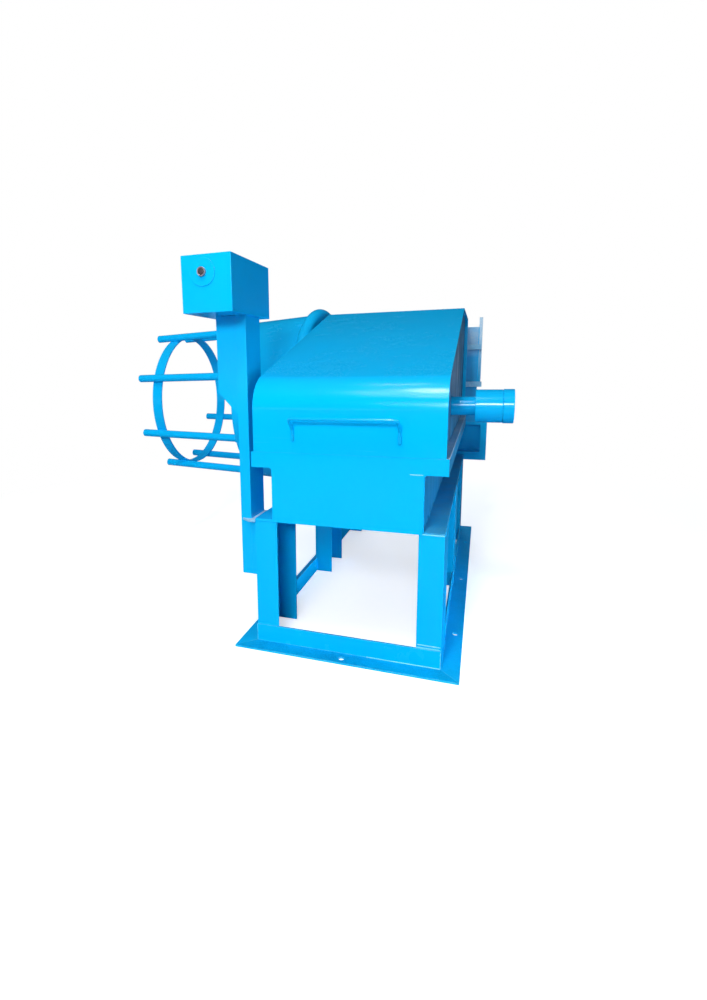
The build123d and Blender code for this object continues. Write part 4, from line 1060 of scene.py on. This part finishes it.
def makeButton(values, place):
    cx, cz = place
    for name, v in values.items():
        bm = bmesh.new()
        points = [(cx + r * mm, y * mm, cz) for r, y in v["line"]]
        turnedLine(bm, points, (cx, 0, cz), acrossY, v["steps"], v.get("closed", False))
        softenEdges(bm, v["edge"] * mm, v["segments"], 50)
        finishPiece(name, bm, v["body"], v["finish"], v["node"])


makeButton(buttonPieces, buttonPlace)
print("shafts and button made")


# Weld beads of the frame, each from one point to another in millimetres, with its width

seams = {
    "rightRoot": ((70, -706.4, 6.4), (282, -706.4, 6.4), 3.2),
    "leftRoot": ((-282, -706.4, 6.4), (-190, -706.4, 6.4), 2.6),
    "baseSecond": ((216, -700.6, 69.5), (281, -700.6, 69.0), 3.6),
    "apronCorner": ((186, -706.2, 569), (221, -706.2, 568.5), 3.4),
    "apronRight": ((224.2, -700.5, 404), (224.2, -700.5, 566), 3.4),
    "apronLeft": ((-224.2, -700.5, 404), (-224.2, -700.5, 566), 3.4),
    "bracketTop": ((-302.5, -685, 400.3), (-302.5, -581, 400.3), 4.0),
    "bracketLeg": ((-284.2, -699, 400.3), (-284.2, -581, 400.3), 4.0),
    "bracketLow": ((-302, -679, 252.3), (-302, -582, 252.3), 3.5),
    "columnBoxFront": ((-336, -686.4, 1017.6), (-304, -686.4, 1017.6), 3.4),
    "columnBoxSide": ((-302.1, -685, 1017.6), (-302.1, -581, 1017.6), 3.4),
    "gussetColumn": ((-337.2, -680.6, 724), (-337.2, -680.6, 1015), 3.6),
    "gussetBack": ((-337.2, -673.6, 724), (-337.2, -673.6, 1015), 3.6),
    "upperShelf": ((264, 705.4, 944.4), (332, 705.4, 944.4), 3.4),
    "lowerShelf": ((264, 705.4, 760.4), (332, 705.4, 760.4), 3.4),
    "finFront": ((334.2, 705.8, 764), (334.2, 705.8, 1048), 3.4),
    "trayUpright": ((264, 756.2, 577.4), (332, 756.2, 577.4), 4.0),
    "trayLeft": ((200.2, 706.6, 402), (200.2, 706.6, 575), 4.0),
}
# The beads painted pale: a painted highlight along them
highlightedSeams = ("rightRoot", "apronCorner", "baseSecond", "basefront1", "capfront1-1")

# Beads at the top and foot of the six legs, between their outer and inner faces
legSeams = {
    "rows": {"front": (-700, -523), "middle": (-75, 102), "rear": (523, 700)}, "outer": 283.7, "inner": 214,
    "top": 400, "foot": 6.8, "base": 60.6, "jointFrom": 8, "jointTo": 59, "inset": 2, "endOfFrame": 699,
    "size": 4.4, "baseSize": 5.0, "jointSize": 3.8,
}


def addLegSeams(found, v):
    top, foot, base = v["top"], v["foot"], v["base"]
    for row, (near, far) in v["rows"].items():
        for side in (-1, 1):
            outer, inner = v["outer"] * side, v["inner"] * side
            key = row + str(side)
            start, end = near + v["inset"], far - v["inset"]
            found["top" + key] = ((outer, start, top), (outer, end, top), v["size"])
            found["foot" + key] = ((outer + side, start, foot), (outer + side, end, foot), v["size"])
            for y, out in ((near, -1), (far, 1)):
                at = y + 0.2 * out
                found["cap" + key + str(out)] = ((inner, at, top), (outer - side, at, top), v["size"])
                if abs(y) > v["endOfFrame"]:
                    at = y + 1.2 * out
                    found["base" + key] = ((inner, at, base), (outer - 3 * side, at, base), v["baseSize"])
                else:
                    at = y + 0.4 * out
                    low, high = (outer, at, v["jointFrom"]), (outer, at, v["jointTo"])
                    found["joint" + key + str(out)] = (low, high, v["jointSize"])
    return found


def makeFrameWelds(found, highlighted):
    painted, highlightBeads = bmesh.new(), bmesh.new()
    for seed, (name, (start, end, size)) in enumerate(found.items(), 3):
        # Beads with a painted highlight go in a mesh of their own
        whole = highlightBeads if name in highlighted else painted
        addPart(whole, weldBead, inMetres(start), inMetres(end), size * mm, seed=seed)
    finishPiece("FrameWelds", painted, "frame", "blueEnamel", sharp=60, even=False)
    finishPiece("PaleWelds", highlightBeads, "frame", "weldHighlightEnamel", sharp=60, even=False)


makeFrameWelds(addLegSeams(seams, legSeams), highlightedSeams)


# Top edge of the right deck edge: a pale bead along the hood, a painted highlight

skirtEdgeHighlight = {"start": (287.9, -694, 614.8), "end": (287.9, 60, 614.8), "width": 2.6}


def makeSkirtEdgeHighlight(v):
    bm = bmesh.new()
    addPart(bm, weldBead, inMetres(v["start"]), inMetres(v["end"]), v["width"] * mm, seed=77)
    finishPiece("SkirtWornEdge", bm, "frame", "paleHighlightEnamel", sharp=60, even=False)


makeSkirtEdgeHighlight(skirtEdgeHighlight)


# Hexagon bolts with washers on the feet of the bearings, inside the hood

bolts = {
    "headRadius": 13 * mm, "headHeight": 10 * mm, "headEase": 1.2 * mm, "turn": 0.3,
    "washerRadius": 16 * mm, "washerTop": 15.2 * mm, "washerHeight": 2.5 * mm,
    "spread": 88 * mm, "seat": 635 * mm, "x": 241 * mm,
}


def addDisc(bm, place, segments, low, high, depth):
    return bmesh.ops.create_cone(
        bm, cap_ends=True, segments=segments, radius1=low, radius2=high, depth=depth, matrix=place
    )["verts"]


def makeBearingBolts(v):
    bm = bmesh.new()
    washerMiddle = v["seat"] + v["washerHeight"] / 2
    headMiddle = v["seat"] + v["washerHeight"] + v["headHeight"] / 2
    for middle in (drum["axis"][0], inputAxis[0]):
        for side in (-1, 1):
            for end in (-1, 1):
                x, y = side * v["x"], middle + end * v["spread"]
                place = Matrix.Translation((x, y, washerMiddle))
                addDisc(bm, place, 24, v["washerRadius"], v["washerTop"], v["washerHeight"])
                place = Matrix.Translation((x, y, headMiddle)) @ Matrix.Rotation(v["turn"] * end, 4, "Z")
                head = addDisc(bm, place, 6, v["headRadius"], v["headRadius"], v["headHeight"])
                edges = {e for p in head for e in p.link_edges}
                crown = [e for e in edges if all(p.co.z > headMiddle for p in e.verts)]
                softenEdges(bm, v["headEase"], 2, 40, crown)
    finishPiece("BearingBolts", bm, "frame", "greasedSteel")


makeBearingBolts(bolts)
print("welds and bolts made")


# The CAD nodes that stay as they are get their finishes

keptLooks = {
    "main_gear": "greasedSteel", "pinion": "greasedSteel", "hood_side_left": "hoodEnamel",
    "hood_side_right": "sidePlateEnamelPaintedShade",
}


def dressKept(looks):
    for name, node in frame["nodes"].items():
        if node.hide_render:
            continue
        for slot in node.material_slots:
            slot.material = finishes[looks.get(name, "blueEnamel")]


dressKept(keptLooks)
